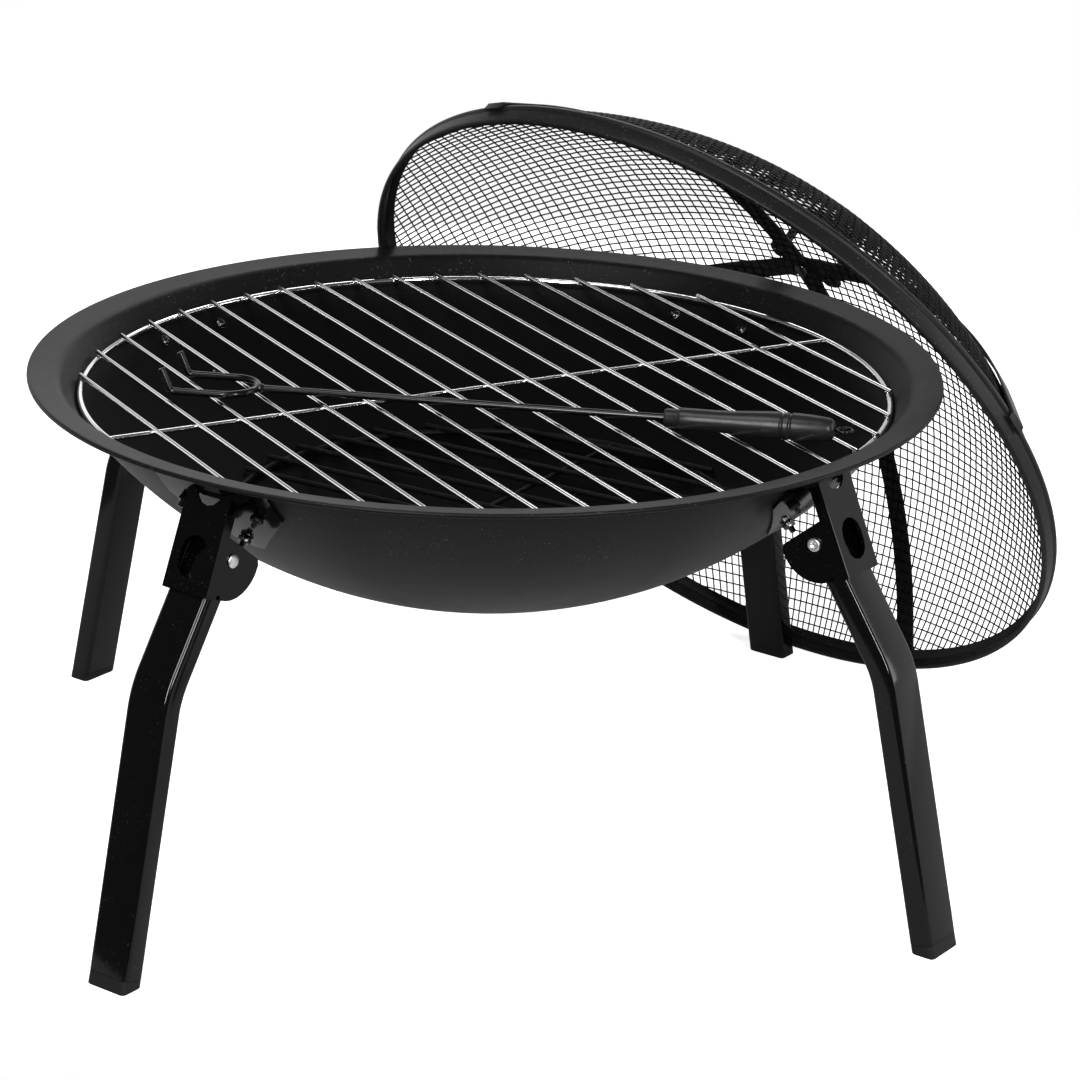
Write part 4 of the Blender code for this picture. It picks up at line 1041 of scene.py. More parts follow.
@dataclass
class Hardware:
    """The rivets, screws and nuts of the four stations."""

    screw_offset: float = 0.0270
    upper_height: float = 0.2650
    lower_height: float = 0.2415
    shank: float = 0.0040
    head: float = 0.0080
    head_height: float = 0.0021
    head_curve: float = 1.1
    head_steps: int = 8
    head_end: float = 0.36
    brow: float = 0.0003
    pit: float = 0.0005
    pit_share: float = 0.24
    dome_share: float = 0.28
    pitch: float = 0.0007
    root_share: float = 0.86
    point: float = 0.4
    tip: float = 0.0036
    sheet: float = 0.0015
    screw_segments: int = 28
    nut_flats: float = 0.0070
    nut_height: float = 0.0032
    nut_ease: float = 0.12
    nut_face: float = 0.97
    nut_steps: int = 48
    rivet_shank: float = 0.0052
    rivet_head: float = 0.0084
    rivet_rise: float = 0.0017
    rivet_brow: float = 0.35
    clinch: float = 0.30
    clinch_level: float = 0.45
    clinch_pit: tuple[float, float] = (0.40, 0.2)
    rivet_segments: int = 40
    channel_half: float = 0.0164

    def screw_spots(self, bowl: Bowl, stations: Sequence[Station]) -> list[tuple[Vector, Vector]]:
        """Return where the screws leave the dish.

        Args:
            bowl: The bowl they hold on to.
            stations: The four stations.

        Returns:
            Each screw's (place, axis).
        """
        spots = []
        for station in stations:
            turn = Matrix.Rotation(math.atan2(-station.sideways.x, station.sideways.y), 3, "Z")
            for sideways, height in ((self.screw_offset, self.upper_height),
                                     (-self.screw_offset, self.upper_height), (0.0, self.lower_height)):
                across = bowl.curve ** 2 - (bowl.centre - height) ** 2
                local = Vector((math.sqrt(across - sideways ** 2), sideways, height))
                axis = (local - Vector((0.0, 0.0, bowl.centre))).normalized()
                spots.append((AXIS + turn @ local, turn @ axis))
        return spots

    def screw(self, wall: float) -> Shape:
        """Return a button-headed screw with a shallow round pit and a ridged shank.

        Args:
            wall: The thickness of the dish under its head.

        Returns:
            The screw about Z, with the dish's outer face at zero.
        """
        head, shank = self.head / 2.0, self.shank / 2.0
        seat = -wall - FIT
        peak = seat - self.head_height
        curve = head * self.head_curve
        dome = arc((0.0, peak + curve), curve, -QUARTER, -self.head_end, self.head_steps)
        profile = [(0.0, peak + self.pit), (head * self.pit_share, peak + self.pit)]
        profile += [(min(radius, head), min(height, seat - self.brow))
                    for radius, height in dome if radius > head * self.dome_share]
        profile += [(head, seat), (shank, seat)]
        start = FIT + self.sheet
        end = start + FIT + self.nut_height + self.tip
        ridges = int((end - start - shank * self.point) / self.pitch)
        for ridge in range(ridges):
            level = start + ridge * self.pitch
            profile += [(shank, level), (shank * self.root_share, level + self.pitch * 0.5)]
        profile += [(shank, start + ridges * self.pitch), (shank * (1.0 - self.point), end), (0.0, end)]
        return lathe(profile, self.screw_segments)

    def nut(self) -> Shape:
        """Return a hexagon nut whose corners are turned down on both faces."""
        flat, height = self.nut_flats / 2.0, self.nut_height
        corner = flat / math.cos(HEXAGON / 2.0)
        bore = self.shank / 2.0 + FIT
        angles = spaced(0.0, TURN, self.nut_steps)[:-1]
        loops = []
        for level, limit in ((0.0, flat * self.nut_face), (height * self.nut_ease, corner),
                             (height * (1.0 - self.nut_ease), corner), (height, flat * self.nut_face)):
            turns = [(angle + HEXAGON / 2.0) % HEXAGON - HEXAGON / 2.0 for angle in angles]
            loops.append([turned(min(flat / math.cos(turn), limit), angle, level)
                          for angle, turn in zip(angles, turns)])
        loops += [[turned(bore, angle, level) for angle in angles] for level in (height, 0.0)]
        return loft(loops, closed=True)

    def rivet(self) -> Shape:
        """Return a pivot rivet: a domed head on one side, a clinched open ring on the other."""
        shank, head, rise = self.rivet_shank / 2.0, self.rivet_head / 2.0, self.rivet_rise
        seat = self.channel_half + FIT
        brow = self.rivet_brow
        domed = [(head * math.cos(a), seat + rise * (brow + (1.0 - brow) * math.sin(a)))
                 for a in spaced(0.0, QUARTER, 8)]
        clinched = arc((head * (1.0 - self.clinch), -seat - rise * self.clinch_level), head * self.clinch,
                       0.0, -math.pi, 10)
        share, depth = self.clinch_pit
        profile = [(0.0, -seat - rise * depth), (head * share, -seat - rise * depth)]
        profile += [(radius, max(height, -seat - rise)) for radius, height in reversed(clinched)]
        profile += [(head, -seat), (shank, -seat), (shank, seat), (head, seat)]
        return lathe(profile + domed[:-1] + [(0.0, seat + rise)], self.rivet_segments)

    def build(self, bowl: Bowl, stations: Sequence[Station]) -> None:
        """Make all screws, nuts and rivets.

        Args:
            bowl: The bowl they hold on to.
            stations: The four stations.
        """
        spots = self.screw_spots(bowl, stations)
        lift = 2.0 * FIT + self.sheet
        seats = [(spot + axis * lift, axis) for spot, axis in spots]
        pivots = [(station.pivot, station.sideways) for station in stations]
        names = [f"{station.name}_{side}" for station in stations for side in ("left", "right", "lower")]
        sets = (Fasteners("bracket_screws", self.screw(bowl.wall), spots, 3, BLACKENED, "blackened_steel",
                          ["screw_" + name for name in names]),
                Fasteners("bracket_nuts", self.nut(), seats, 8, BLACKENED, "blackened_steel",
                          ["nut_" + name for name in names]),
                Fasteners("pivot_rivets", self.rivet(), pivots, 5, ZINC, "zinc_plate",
                          ["pivot_rivet_" + station.name for station in stations]))
        for fasteners in sets:
            fasteners.build("stand")


@dataclass
class Bracket:
    """The pressed bracket: the solid's own shape with its edges broken."""

    merge: float = 1e-6
    edge: float = 0.00035
    edge_steps: int = 3
    flat: float = math.radians(1.0)
    sharp: float = math.radians(28.0)
    crease: float = math.radians(40.0)
    evening: int = 80

    def mesh(self, node: str) -> bpy.types.Mesh:
        """Return a bracket with merged faces and softened edges.

        Args:
            node: The solid it is made from.

        Returns:
            The mesh.
        """
        mesh = frame["nodes"][node].data.copy()
        shape = bmesh.new()
        shape.from_mesh(mesh)
        bmesh.ops.remove_doubles(shape, verts=shape.verts, dist=self.merge)
        bmesh.ops.dissolve_limit(shape, angle_limit=self.flat, verts=shape.verts, edges=shape.edges)
        edges = [edge for edge in shape.edges
                 if edge.is_manifold and abs(edge.calc_face_angle(0.0)) > self.sharp]
        bmesh.ops.bevel(shape, geom=edges, offset=self.edge, segments=self.edge_steps, profile=0.5,
                        affect="EDGES", clamp_overlap=True, harden_normals=False)
        shape.to_mesh(mesh)
        shape.free()
        mesh.shade_smooth()
        mesh.set_sharp_from_angle(angle=self.crease)
        holder = linked(node + "_holder", mesh)
        weighted = holder.modifiers.new("weighted", "WEIGHTED_NORMAL")
        weighted.keep_sharp = True
        weighted.weight = self.evening
        return settled(holder, "pressed_" + node)


@dataclass
class Stand:
    """Brackets, legs, caps and hardware at the four stations."""

    leg: Leg = field(default_factory=Leg)
    bracket: Bracket = field(default_factory=Bracket)
    hardware: Hardware = field(default_factory=Hardware)

    def build(self, bowl: Bowl) -> None:
        """Make what the bowl stands on.

        Args:
            bowl: The bowl.
        """
        stations = read_stations()
        for station in stations:
            body, height = "leg_" + station.name, station.pivot.z
            tube, cap, node = "leg_tube_" + station.name, "leg_cap_" + station.name, "bracket_" + station.name
            show(tube, self.leg.tube(height).placed(station.place).mesh(tube), LEG_PAINT, body,
                 [body])
            show(cap, self.leg.foot(height).placed(station.place).mesh(cap, self.leg.cap_crease), SOLE, body,
                 ["foot_cap_" + station.name])
            show("pressed_" + node, self.bracket.mesh(node), BRACKET_PAINT, "stand", [node])
        self.hardware.build(bowl, stations)


# Grates

# Half lengths of a weld bead along and across the bar and upwards, as shares of the rods that it joins.
RING_BEAD = (0.62, 0.72, 0.22)
CROSS_BEAD = (0.72, 0.72, 0.24)


def grate_tree() -> Tree:
    """Return the tree of a welded grate: a ring, parallel bars on it, a cross bar and weld beads."""
    tree = Tree("grate", {Kind.NUMBER: ("Ring", "Wire", "Bar", "Spacing", "Overhang", "Sink"),
                          Kind.COUNT: ("Count",)})
    ring, wire, bar, spacing, overhang, sink = (tree.value(name) for name in
                                                ("Ring", "Wire", "Bar", "Spacing", "Overhang", "Sink"))
    count = tree.value("Count")
    hoop_steps, hoop_sides, bar_sides = 220, 18, 16
    rise = (wire + bar) * 0.5 - sink
    hoop = tree.node("GeometryNodeCurvePrimitiveCircle", {"mode": "RADIUS"},
                     {"Resolution": hoop_steps, "Radius": ring})
    hoop_tube = tree.tube(hoop, wire * 0.5, hoop_sides)
    wide = (count - 1.0) * spacing
    lines = tree.rows(2.0, wide, (2, count), "Y")
    x, y, _ = tree.split(tree.node("GeometryNodeInputPosition"))
    reach = ((ring + overhang) ** 2.0 - y * y).math("SQRT")
    bars = tree.wires(tree.moved(lines, tree.vector(x * reach, y, rise)), bar * 0.5, bar_sides)
    under = rise - bar + sink
    cross = tree.node("GeometryNodeCurvePrimitiveLine", None,
                      {"Start": tree.vector(0.0, 0.0 - ring, under), "End": tree.vector(0.0, ring, under)})
    cross_tube = tree.tube(cross, bar * 0.5, bar_sides)
    bead = tree.node("GeometryNodeMeshIcoSphere", None, {"Radius": 1.0, "Subdivisions": 2})
    side = (ring ** 2.0 - y * y).math("SQRT")
    at_ring = tree.moved(lines, tree.vector(x * side, y, wire * 0.5))
    at_cross = tree.node("GeometryNodeMeshLine", {"mode": "OFFSET"},
                         {"Count": count, "Start Location": tree.vector(0.0, wide * -0.5, rise - bar * 0.5),
                          "Offset": tree.vector(0.0, spacing, 0.0)})
    sizes = [tree.vector(*(rod_size * share for rod_size, share in zip(rods, shares)))
             for rods, shares in (((wire, bar, wire), RING_BEAD), ((bar, bar, bar), CROSS_BEAD))]
    beads = [tree.node("GeometryNodeInstanceOnPoints", None,
                       {"Points": points, "Instance": bead, "Scale": size})
             for points, size in zip((at_ring, at_cross), sizes)]
    return tree.close(tree.join(hoop_tube, bars, cross_tube, *beads))


@dataclass
class Grate:
    """A welded wire grate that lies in the dish."""

    node: str
    finish: Paint | Plating
    slot: str
    ring: float
    wire: float
    bar: float
    spacing: float
    count: int
    overhang: float
    azimuth: float
    sink: float = 0.0006
    crease: float = math.radians(50.0)

    def build(self) -> None:
        """Make the grate at the height of its solid."""
        low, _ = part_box(self.node)
        rise = (self.wire + self.bar) / 2.0 - self.sink
        ring_low = -self.wire / 2.0 * math.cos(HEXAGON / 2.0)
        height = low.z - min(ring_low, rise - self.bar * 1.5 + self.sink)
        name = "welded_" + self.node
        values = {"Ring": self.ring, "Wire": self.wire, "Bar": self.bar, "Spacing": self.spacing,
                  "Count": self.count, "Overhang": self.overhang, "Sink": self.sink}
        mesh = grate_tree().grow(name, self.finish, values)
        mesh.transform(Matrix.Translation(AXIS + UP * height) @ Matrix.Rotation(self.azimuth, 4, "Z"))
        mesh.set_sharp_from_angle(angle=self.crease)
        show(name, mesh, self.finish, self.node, [self.node])


# Poker


@dataclass
class Poker:
    """A two-pronged fork of bent rod on a shaft with a turned grip and a tail ring."""

    rod: float = 0.0045
    apex: tuple[float, float] = (-0.1420, -0.0157)
    azimuth: float = math.radians(-20.8)
    spacing: float = 0.0360
    reach: float = 0.0490
    tip: float = 0.0138
    lean: float = math.radians(21.0)
    tip_bend: float = 0.0040
    tip_ease: float = 0.0006
    tip_shares: tuple[float, float] = (0.80, 0.95)
    tip_steps: int = 10
    bow_steps: int = 36
    sides: int = 20
    weld_at: float = 0.55
    grip_start: float = 0.2515
    grip_length: float = 0.1015
    grip_segments: int = 64
    held: float = 0.0390
    belly: float = 0.0083
    belly_at: float = 0.0640
    groove: float = 0.0009
    groove_width: float = 0.0026
    grooves: tuple[float, float] = (0.0050, 0.0100)
    tail_at: float = 0.0126
    tail_share: float = 0.86
    taper: float = 0.17
    taper_curve: float = 1.7
    hanger_wire: float = 0.0018
    hanger_radius: float = 0.0046
    hanger_steps: int = 48
    hanger_sides: int = 12
    lay: Matrix = Matrix.Rotation(QUARTER, 4, "Y")

    @property
    def place(self) -> Matrix:
        """The matrix from the poker's own frame, X along it from the fork's apex, as it lies on the grate."""
        low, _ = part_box("poker_fork")
        pitch = math.asin((self.belly - self.rod / 2.0) / (self.reach + self.grip_start + self.belly_at))
        apex = AXIS + Vector((*self.apex, low.z + self.rod / 2.0 + self.reach * math.sin(pitch)))
        turn = Matrix.Rotation(self.azimuth, 4, "Z") @ Matrix.Rotation(-pitch, 4, "Y")
        return Matrix.Translation(apex) @ turn

    def fork(self) -> Shape:
        """Return the fork: prong, bow and prong of one rod, its ends slightly rounded."""
        half, bend, radius = self.spacing / 2.0, self.tip_bend, self.rod / 2.0
        turn = QUARTER - self.lean
        rise = Vector((-math.sin(self.lean), math.cos(self.lean)))
        tip = Vector((-self.reach, 0.0)) + rise * self.tip / math.cos(self.lean)
        centre = Vector((-self.reach + bend * math.tan(turn / 2.0), bend))
        start = -QUARTER - turn
        prong = [tip, tip - rise * self.tip_ease * 0.4, tip - rise * self.tip_ease]
        prong += [centre + Vector((math.cos(a), math.sin(a))) * bend
                  for a in spaced(start, start + turn, self.tip_steps)]
        near = [Vector((p.x, -half, p.y)) for p in prong]
        bow = [Vector((-half + half * math.cos(a), half * math.sin(a), 0.0))
               for a in spaced(-QUARTER, QUARTER, self.bow_steps)]
        far = [Vector((p.x, half, p.y)) for p in reversed(prong)]
        ease = [radius * share for share in self.tip_shares]
        path = near + bow + far
        return rod(path, ease + [radius] * (len(path) - 4) + ease[::-1], self.sides)

    def shaft(self) -> Shape:
        """Return the shaft from the weld on the fork into the grip."""
        start, end = self.rod / 2.0 + FIT, self.grip_start + self.held
        return rod([Vector((x, 0.0, 0.0)) for x in (start, end)], [self.rod / 2.0] * 2, self.sides)

    def weld(self) -> Shape:
        """Return the weld bead that joins the shaft to the fork's bow."""
        radius = self.rod / 2.0
        bead = ((0.0, 0.0), (1.02, 0.0), (1.32, 0.35), (1.30, 0.9), (1.04, 1.6), (0.0, 1.6))
        shape = lathe([(radius * out, radius * along) for out, along in bead], self.sides)
        return shape.placed(Matrix.Translation((radius * self.weld_at, 0.0, 0.0)) @ self.lay)

    def grip(self) -> Shape:
        """Return the turned grip: collar, waist, belly with two grooves and a tapering tail."""
        length, belly, at, bore = self.grip_length, self.belly, self.belly_at, self.rod / 2.0 + FIT
        knots = [(0.0000, 0.58), (0.0005, 0.64), (0.0014, 0.67), (0.0088, 0.68), (0.0092, 0.71),
                 (0.0094, 0.77), (0.0102, 0.80), (at * 0.28, 0.795), (at * 0.50, 0.79), (at * 0.66, 0.84),
                 (at * 0.82, 0.92), (at * 0.94, 0.98), (at, 1.0), (at + 0.0048, 1.0)]
        end = ((0.74, 0.0018), (0.60, 0.0006), (0.40, 0.0), (0.0, 0.0))
        profile = [(0.0, 0.001), (bore, 0.001), (bore, 0.0)]
        profile += [(belly * share, level) for level, share in knots]
        for begin in self.grooves:
            profile += [(belly - self.groove * math.sin(a), at + begin + self.groove_width * i / 6)
                        for i, a in enumerate(spaced(0.0, math.pi, 6))]
        rest = length - at - self.tail_at
        profile += [(belly * (1.0 - self.taper * share ** self.taper_curve),
                     at + self.tail_at + rest * self.tail_share * share) for share in spaced(0.0, 1.0, 8)[1:]]
        profile += [(belly * share, length - back) for share, back in end]
        start = Matrix.Translation((self.grip_start, 0.0, 0.0))
        return lathe(profile, self.grip_segments).placed(start @ self.lay)

    def hanger(self) -> Shape:
        """Return the tail ring."""
        radius = self.hanger_wire / 2.0
        eye = self.grip_start + self.grip_length + FIT + radius + self.hanger_radius
        ring = [Vector((eye + x, y, 0.0))
                for x, y in arc((0.0, 0.0), self.hanger_radius, 0.0, TURN, self.hanger_steps)[:-1]]
        return rod(ring, [radius] * len(ring), self.hanger_sides, closed=True)

    def build(self) -> None:
        """Make the poker on the cooking grate."""
        place = self.place
        parts = ((self.fork(), ROD_PAINT, "poker_paint", "poker_fork"),
                 (self.shaft().add(self.weld()), ROD_PAINT, "poker_paint", "poker_shaft"),
                 (self.grip(), GRIP, "handle_plastic", "poker_handle"),
                 (self.hanger(), ROD_PAINT, "poker_paint", "poker_hanger"))
        for shape, finish, slot, node in parts:
            name = node + "_turned"
            show(name, shape.placed(place).mesh(name), finish, "poker", [node])


# Lid


class Family(Enum):
    """The two families of wires in the lid's weave: how far each is turned, and which way it waves."""

    WARP = (0.0, 1.0)
    WEFT = (QUARTER, -1.0)


def weave_tree() -> Tree:
    """Return the tree of one family of woven wires on a dome, about Z with its centre at zero."""
    tree = Tree("weave", {Kind.NUMBER: ("Sphere", "Edge", "Pitch", "Wire", "Wave"), Kind.COUNT: ("Wires",)})
    sphere, edge, pitch, count = (tree.value(name) for name in ("Sphere", "Edge", "Pitch", "Wires"))
    wire_sides = 5
    wide = (count - 1.0) * pitch
    lines = tree.rows(wide, wide, (count, count * 2.0 - 1.0), "X")
    x, y, _ = tree.split(tree.node("GeometryNodeInputPosition"))
    lean_x = (x / sphere).math("TANGENT")
    room = (edge.math("TANGENT") ** 2.0 - lean_x * lean_x).math("MAXIMUM", 0.0)
    limit = room.math("SQRT").math("ARCTANGENT") * sphere
    beyond = y.math("ABSOLUTE") > limit + pitch * 0.5
    kept = tree.node("GeometryNodeDeleteGeometry", {"domain": "POINT"},
                     {"Geometry": lines, "Selection": beyond})
    held = y.math("MINIMUM", limit).math("MAXIMUM", 0.0 - limit)
    lean_y = (held / sphere).math("TANGENT")
    way = tree.node("ShaderNodeVectorMath", {"operation": "NORMALIZE"}, {0: tree.vector(lean_x, lean_y, 1.0)})
    phase = ((x + y) / pitch * math.pi).math("COSINE")
    reach = sphere + phase * tree.value("Wave")
    spot = tree.node("ShaderNodeVectorMath", {"operation": "SCALE"}, {0: way, "Scale": reach})
    return tree.close(tree.wires(tree.moved(kept, spot), tree.value("Wire") * 0.5, wire_sides))


@dataclass
class Lid:
    """The mesh lid: band, hem, woven dome, crossed straps, plate, rivet and bail handle."""

    radius: float = 0.2580
    depth: float = 0.0145
    sheet: float = 0.0012
    lip: float = 0.0024
    curl: float = 0.0012
    bead: float = 0.0009
    bead_low: float = 0.0044
    bead_width: float = 0.0040
    neck: float = 0.0048
    turned_in: tuple[float, float] = (0.0003, 0.0002)
    seam: float = math.radians(-60.0)
    slit: float = 0.00018
    segments: int = 300
    hem_low: float = 0.0062
    hem_sheet: float = 0.0008
    height: float = 0.1330
    dome_low: float = 0.0030
    skin: float = 0.0010
    pitch: float = 0.0071
    wire: float = 0.00105
    crimp: float = 0.18
    strap_width: float = 0.0155
    strap_sheet: float = 0.0015
    strap_rise: float = 0.0022
    strap_end: float = 0.0094
    strap_bend: float = 0.0050
    strap_lean: float = 0.0002
    strap_crowding: float = 1.3
    strap_reach: float = 0.95
    swell_from: float = 0.55
    swell_until: float = 0.9
    swell_fall: float = 2.0
    strap_ease: float = 0.0005
    strap_steps: int = 40
    strap_angles: tuple[float, float] = (math.radians(73.0), math.radians(168.0))
    plate: float = 0.0560
    plate_width: float = 0.0130
    plate_sheet: float = 0.0020
    plate_ease: float = 0.0005
    plate_steps: int = 160
    bail_rod: float = 0.0064
    bail_span: float = 0.0400
    bail_height: float = 0.0400
    bail_angle: float = math.radians(31.0)
    bail_corner: float = 0.0110
    bail_sides: int = 24
    stud: float = 0.0040
    stud_proud: float = 0.0004
    nut_flats: float = 0.0070
    nut_height: float = 0.0024
    rivet_shank: float = 0.0050
    rivet_head: float = 0.0110
    rivet_rise: float = 0.0020
    rivet_segments: int = 40

    def __post_init__(self) -> None:
        """Read the lid's axis and open side from the frame, and work out the dome."""
        axes = {joint["name"]: Vector(joint["axis"]) for joint in frame["joints"]}
        out = axes["lid_lift_off"].normalized()
        up = axes["cooking_grate_lift_out"].normalized()
        points = [vertex.co for vertex in frame["nodes"]["lid_rim"].data.vertices]
        middle = sum(points, Vector()) / len(points)
        mouth = min(point.dot(out) for point in points)
        turn = Matrix((up.cross(out), up, out)).transposed().to_4x4()
        self.place = Matrix.Translation(middle + out * (mouth - middle.dot(out))) @ turn
        edge = self.radius - self.sheet - FIT - self.skin / 2.0
        rise = self.height - (self.depth - self.dome_low)
        self.sphere = (edge ** 2 + rise ** 2) / (2.0 * rise)
        self.centre = self.height - self.sphere
        self.limit = math.asin(edge / self.sphere)
        self.bail_turn = Matrix.Rotation(self.bail_angle, 4, "Z")

    def band(self) -> Shape:
        """Return the rolled band with its lip, its bead and the butt joint's slit."""
        middle, half, curl, depth = self.radius - self.sheet / 2.0, self.sheet / 2.0, self.curl, self.depth
        line = [(middle - self.lip, half)]
        line += arc((middle - curl, half + curl), curl, -QUARTER, 0.0, 6)
        line += [(middle, depth - self.neck)]
        line += [(middle + self.bead * math.sin(math.pi * share),
                  depth - self.bead_low + self.bead_width * share) for share in spaced(0.0, 1.0, 10)]
        line += [(middle - self.turned_in[0], depth - self.turned_in[1])]
        slit = self.slit / self.radius
        return part_turn(sheet_outline(line, self.sheet), self.segments, self.seam + slit, TURN - 2.0 * slit)

    def hem(self) -> Shape:
        """Return the folded hem inside the band that grips the edge of the weave."""
        inner, low = self.radius - self.sheet - FIT, self.depth - self.hem_low
        folds = ((0.0012, 0.0), (0.0024, 0.0016), (0.0030, 0.0036), (0.0036, 0.0056))
        line = [(inner - inset, low + rise) for inset, rise in folds]
        return lathe(sheet_outline(line, self.hem_sheet), self.segments, closed=True)

    def strap_line(self, over: float) -> Profile:
        """Return a strap's middle line from one end over the top to the other.

        Args:
            over: How far it steps up over the other strap.

        Returns:
            Points of (sideways, height).
        """
        seat = self.skin / 2.0 + FIT + self.strap_sheet / 2.0
        side = self.radius + self.bead + FIT + self.strap_sheet / 2.0
        half = [(side, self.strap_end), (side, self.depth - self.strap_bend),
                (side - self.strap_lean, self.depth)]
        for i in range(1, self.strap_steps + 1):
            share = (1.0 - i / self.strap_steps) ** self.strap_crowding
            angle = self.limit * self.strap_reach * share
            swell = self.strap_rise * max(0.0, (share - self.swell_from) / (1.0 - self.swell_from)) ** 2
            swell *= 1.0 - max(0.0, share - self.swell_until) * self.swell_fall
            beyond = max(0.0, self.sphere * angle - self.strap_width)
            step = over * max(0.0, 1.0 - beyond / self.strap_width)
            reach = self.sphere + seat + swell + step
            half.append((reach * math.sin(angle), self.centre + reach * math.cos(angle)))
        return half + [(-x, z) for x, z in half[:-1]][::-1]

    def strap(self, angle: float, over: float) -> Shape:
        """Return a strap with eased edges.

        Args:
            angle: Which way it runs over the dome.
            over: How far it steps up over the other strap.

        Returns:
            The strap.
        """
        line = [Vector(point) for point in self.strap_line(over)]
        outline = rounded_rectangle(self.strap_width, self.strap_sheet, self.strap_ease, 3)
        loops = []
        for i, point in enumerate(line):
            along = (line[min(i + 1, len(line) - 1)] - line[max(i - 1, 0)]).normalized()
            loops.append([Vector((point.x - along.y * x, y, point.y + along.x * x)) for x, y in outline])
        return loft(loops).placed(Matrix.Rotation(angle, 4, "Z"))

    def stack(self) -> tuple[float, float]:
        """Return the heights of the straps' outside and of the handle plate's top."""
        straps = self.height + self.skin / 2.0 + 2.0 * (FIT + self.strap_sheet)
        return straps, straps + FIT + self.plate_sheet

    def long_plate(self) -> Shape:
        """Return the handle's long plate with round ends and an eased rim."""
        low, high, ease = self.stack()[0] + FIT, self.stack()[1], self.plate_ease
        wide, reach = self.plate_width / 2.0, (self.plate - self.plate_width) / 2.0
        bore = self.rivet_shank / 2.0 + FIT
        angles = spaced(0.0, TURN, self.plate_steps)[:-1]
        edge = []
        for angle in angles:
            across, along = abs(math.sin(angle)), abs(math.cos(angle))
            straight = along * wide <= reach * across
            edge.append(wide / across if straight
                        else reach * along + math.sqrt(wide ** 2 - (reach * across) ** 2))
        loops = [[turned(bore + (far - inset - bore) * share, angle, level)
                  for angle, far in zip(angles, edge)]
                 for share, inset, level in ((0.0, 0.0, low), (1.0, ease, low), (1.0, 0.0, low + ease),
                                             (1.0, 0.0, high - ease), (1.0, ease, high), (0.0, 0.0, high))]
        return loft(loops, closed=True).placed(self.bail_turn)

    def rivet(self) -> Shape:
        """Return the domed rivet through the top of the lid."""
        shank, head, rise = self.rivet_shank / 2.0, self.rivet_head / 2.0, self.rivet_rise
        low = self.height - self.skin / 2.0 - head ** 2 / (2.0 * self.sphere) - FIT
        high = self.stack()[1] + FIT
        angles = spaced(0.0, QUARTER, 8)
        under = [(0.0, low - rise)] + [(head * math.sin(a), low - rise * math.cos(a)) for a in angles[1:]]
        over = [(head * math.cos(a), high + rise * math.sin(a)) for a in angles[:-1]] + [(0.0, high + rise)]
        return lathe(under + [(shank, low), (shank, high)] + over, self.rivet_segments)

    def bail(self) -> Shape:
        """Return the bail: a bent rod on two shoulders, with its studs through the plate."""
        half, base, corner = self.bail_span / 2.0, self.stack()[1], self.bail_corner
        top = self.bail_height - self.bail_rod / 2.0
        end = -self.plate_sheet - FIT - self.nut_height - self.stud_proud
        stem = [(half, end), (half, FIT), (half, FIT + TINY * 10.0), (half, FIT + self.stud_proud)]
        bend = arc((half - corner, top - corner), corner, 0.0, QUARTER, 14)
        right = [Vector((x, 0.0, base + z)) for x, z in stem + bend]
        thick, thin = self.bail_rod / 2.0, self.stud / 2.0
        radii = [thin, thin, thick * 0.94] + [thick] * (len(right) - 3)
        path = right + [Vector((-p.x, p.y, p.z)) for p in reversed(right)]
        return rod(path, radii + radii[::-1], self.bail_sides).placed(self.bail_turn)

    def lay(self, name: str, shape: Shape, finish: Paint | Plating, slot: str, *nodes: str) -> None:
        """Put one of the lid's shapes where the lid leans."""
        show(name, shape.placed(self.place).mesh(name), finish, "lid", nodes)

    def build_weave(self) -> None:
        """Make the two families of wires on the dome."""
        values = {"Sphere": self.sphere, "Edge": self.limit, "Pitch": self.pitch, "Wire": self.wire,
                  "Wires": 2 * int(self.sphere * self.limit / self.pitch) + 1}
        for family in Family:
            turn, wave = family.value
            name = "lid_mesh_" + family.name.lower()
            values["Wave"] = wave * self.wire * self.crimp
            mesh = weave_tree().grow(name, WIRE_PAINT, values)
            mesh.transform(self.place @ Matrix.Translation(UP * self.centre) @ Matrix.Rotation(turn, 4, "Z"))
            show(name, mesh, WIRE_PAINT, "lid", ["lid_mesh"])

    def build_nuts(self) -> None:
        """Make the two nuts on the bail's studs."""
        nut = Hardware(shank=self.stud, nut_flats=self.nut_flats, nut_height=self.nut_height).nut()
        turn = self.place @ self.bail_turn
        axis = (turn.to_3x3() @ UP).normalized()
        level = self.stack()[0] - self.nut_height
        spots = [(turn @ Vector((side * self.bail_span / 2.0, 0.0, level)), axis) for side in (1.0, -1.0)]
        Fasteners("lid_bail_nuts", nut, spots, 2, BLACKENED, "blackened_steel",
                  ["lid_handle_nut_a", "lid_handle_nut_b"]).build("lid")

    def build(self) -> None:
        """Make the lid."""
        self.lay("lid_band", self.band(), LID_PAINT, "lid_paint", "lid_rim")
        self.lay("lid_hem", self.hem(), LID_PAINT, "lid_paint")
        self.build_weave()
        lower, upper = self.strap_angles
        over = self.strap_sheet + FIT
        self.lay("lid_lower_strap", self.strap(lower, 0.0), LID_PAINT, "lid_paint", "lid_strap_a")
        self.lay("lid_upper_strap", self.strap(upper, over), LID_PAINT, "lid_paint", "lid_strap_b")
        self.lay("lid_long_plate", self.long_plate(), LID_PAINT, "lid_paint", "lid_handle_plate")
        self.lay("lid_centre_rivet", self.rivet(), BLACKENED, "blackened_steel", "lid_rivet")
        self.lay("lid_bail", self.bail(), ROD_PAINT, "bail_paint", "lid_handle")
        self.build_nuts()


# Studio


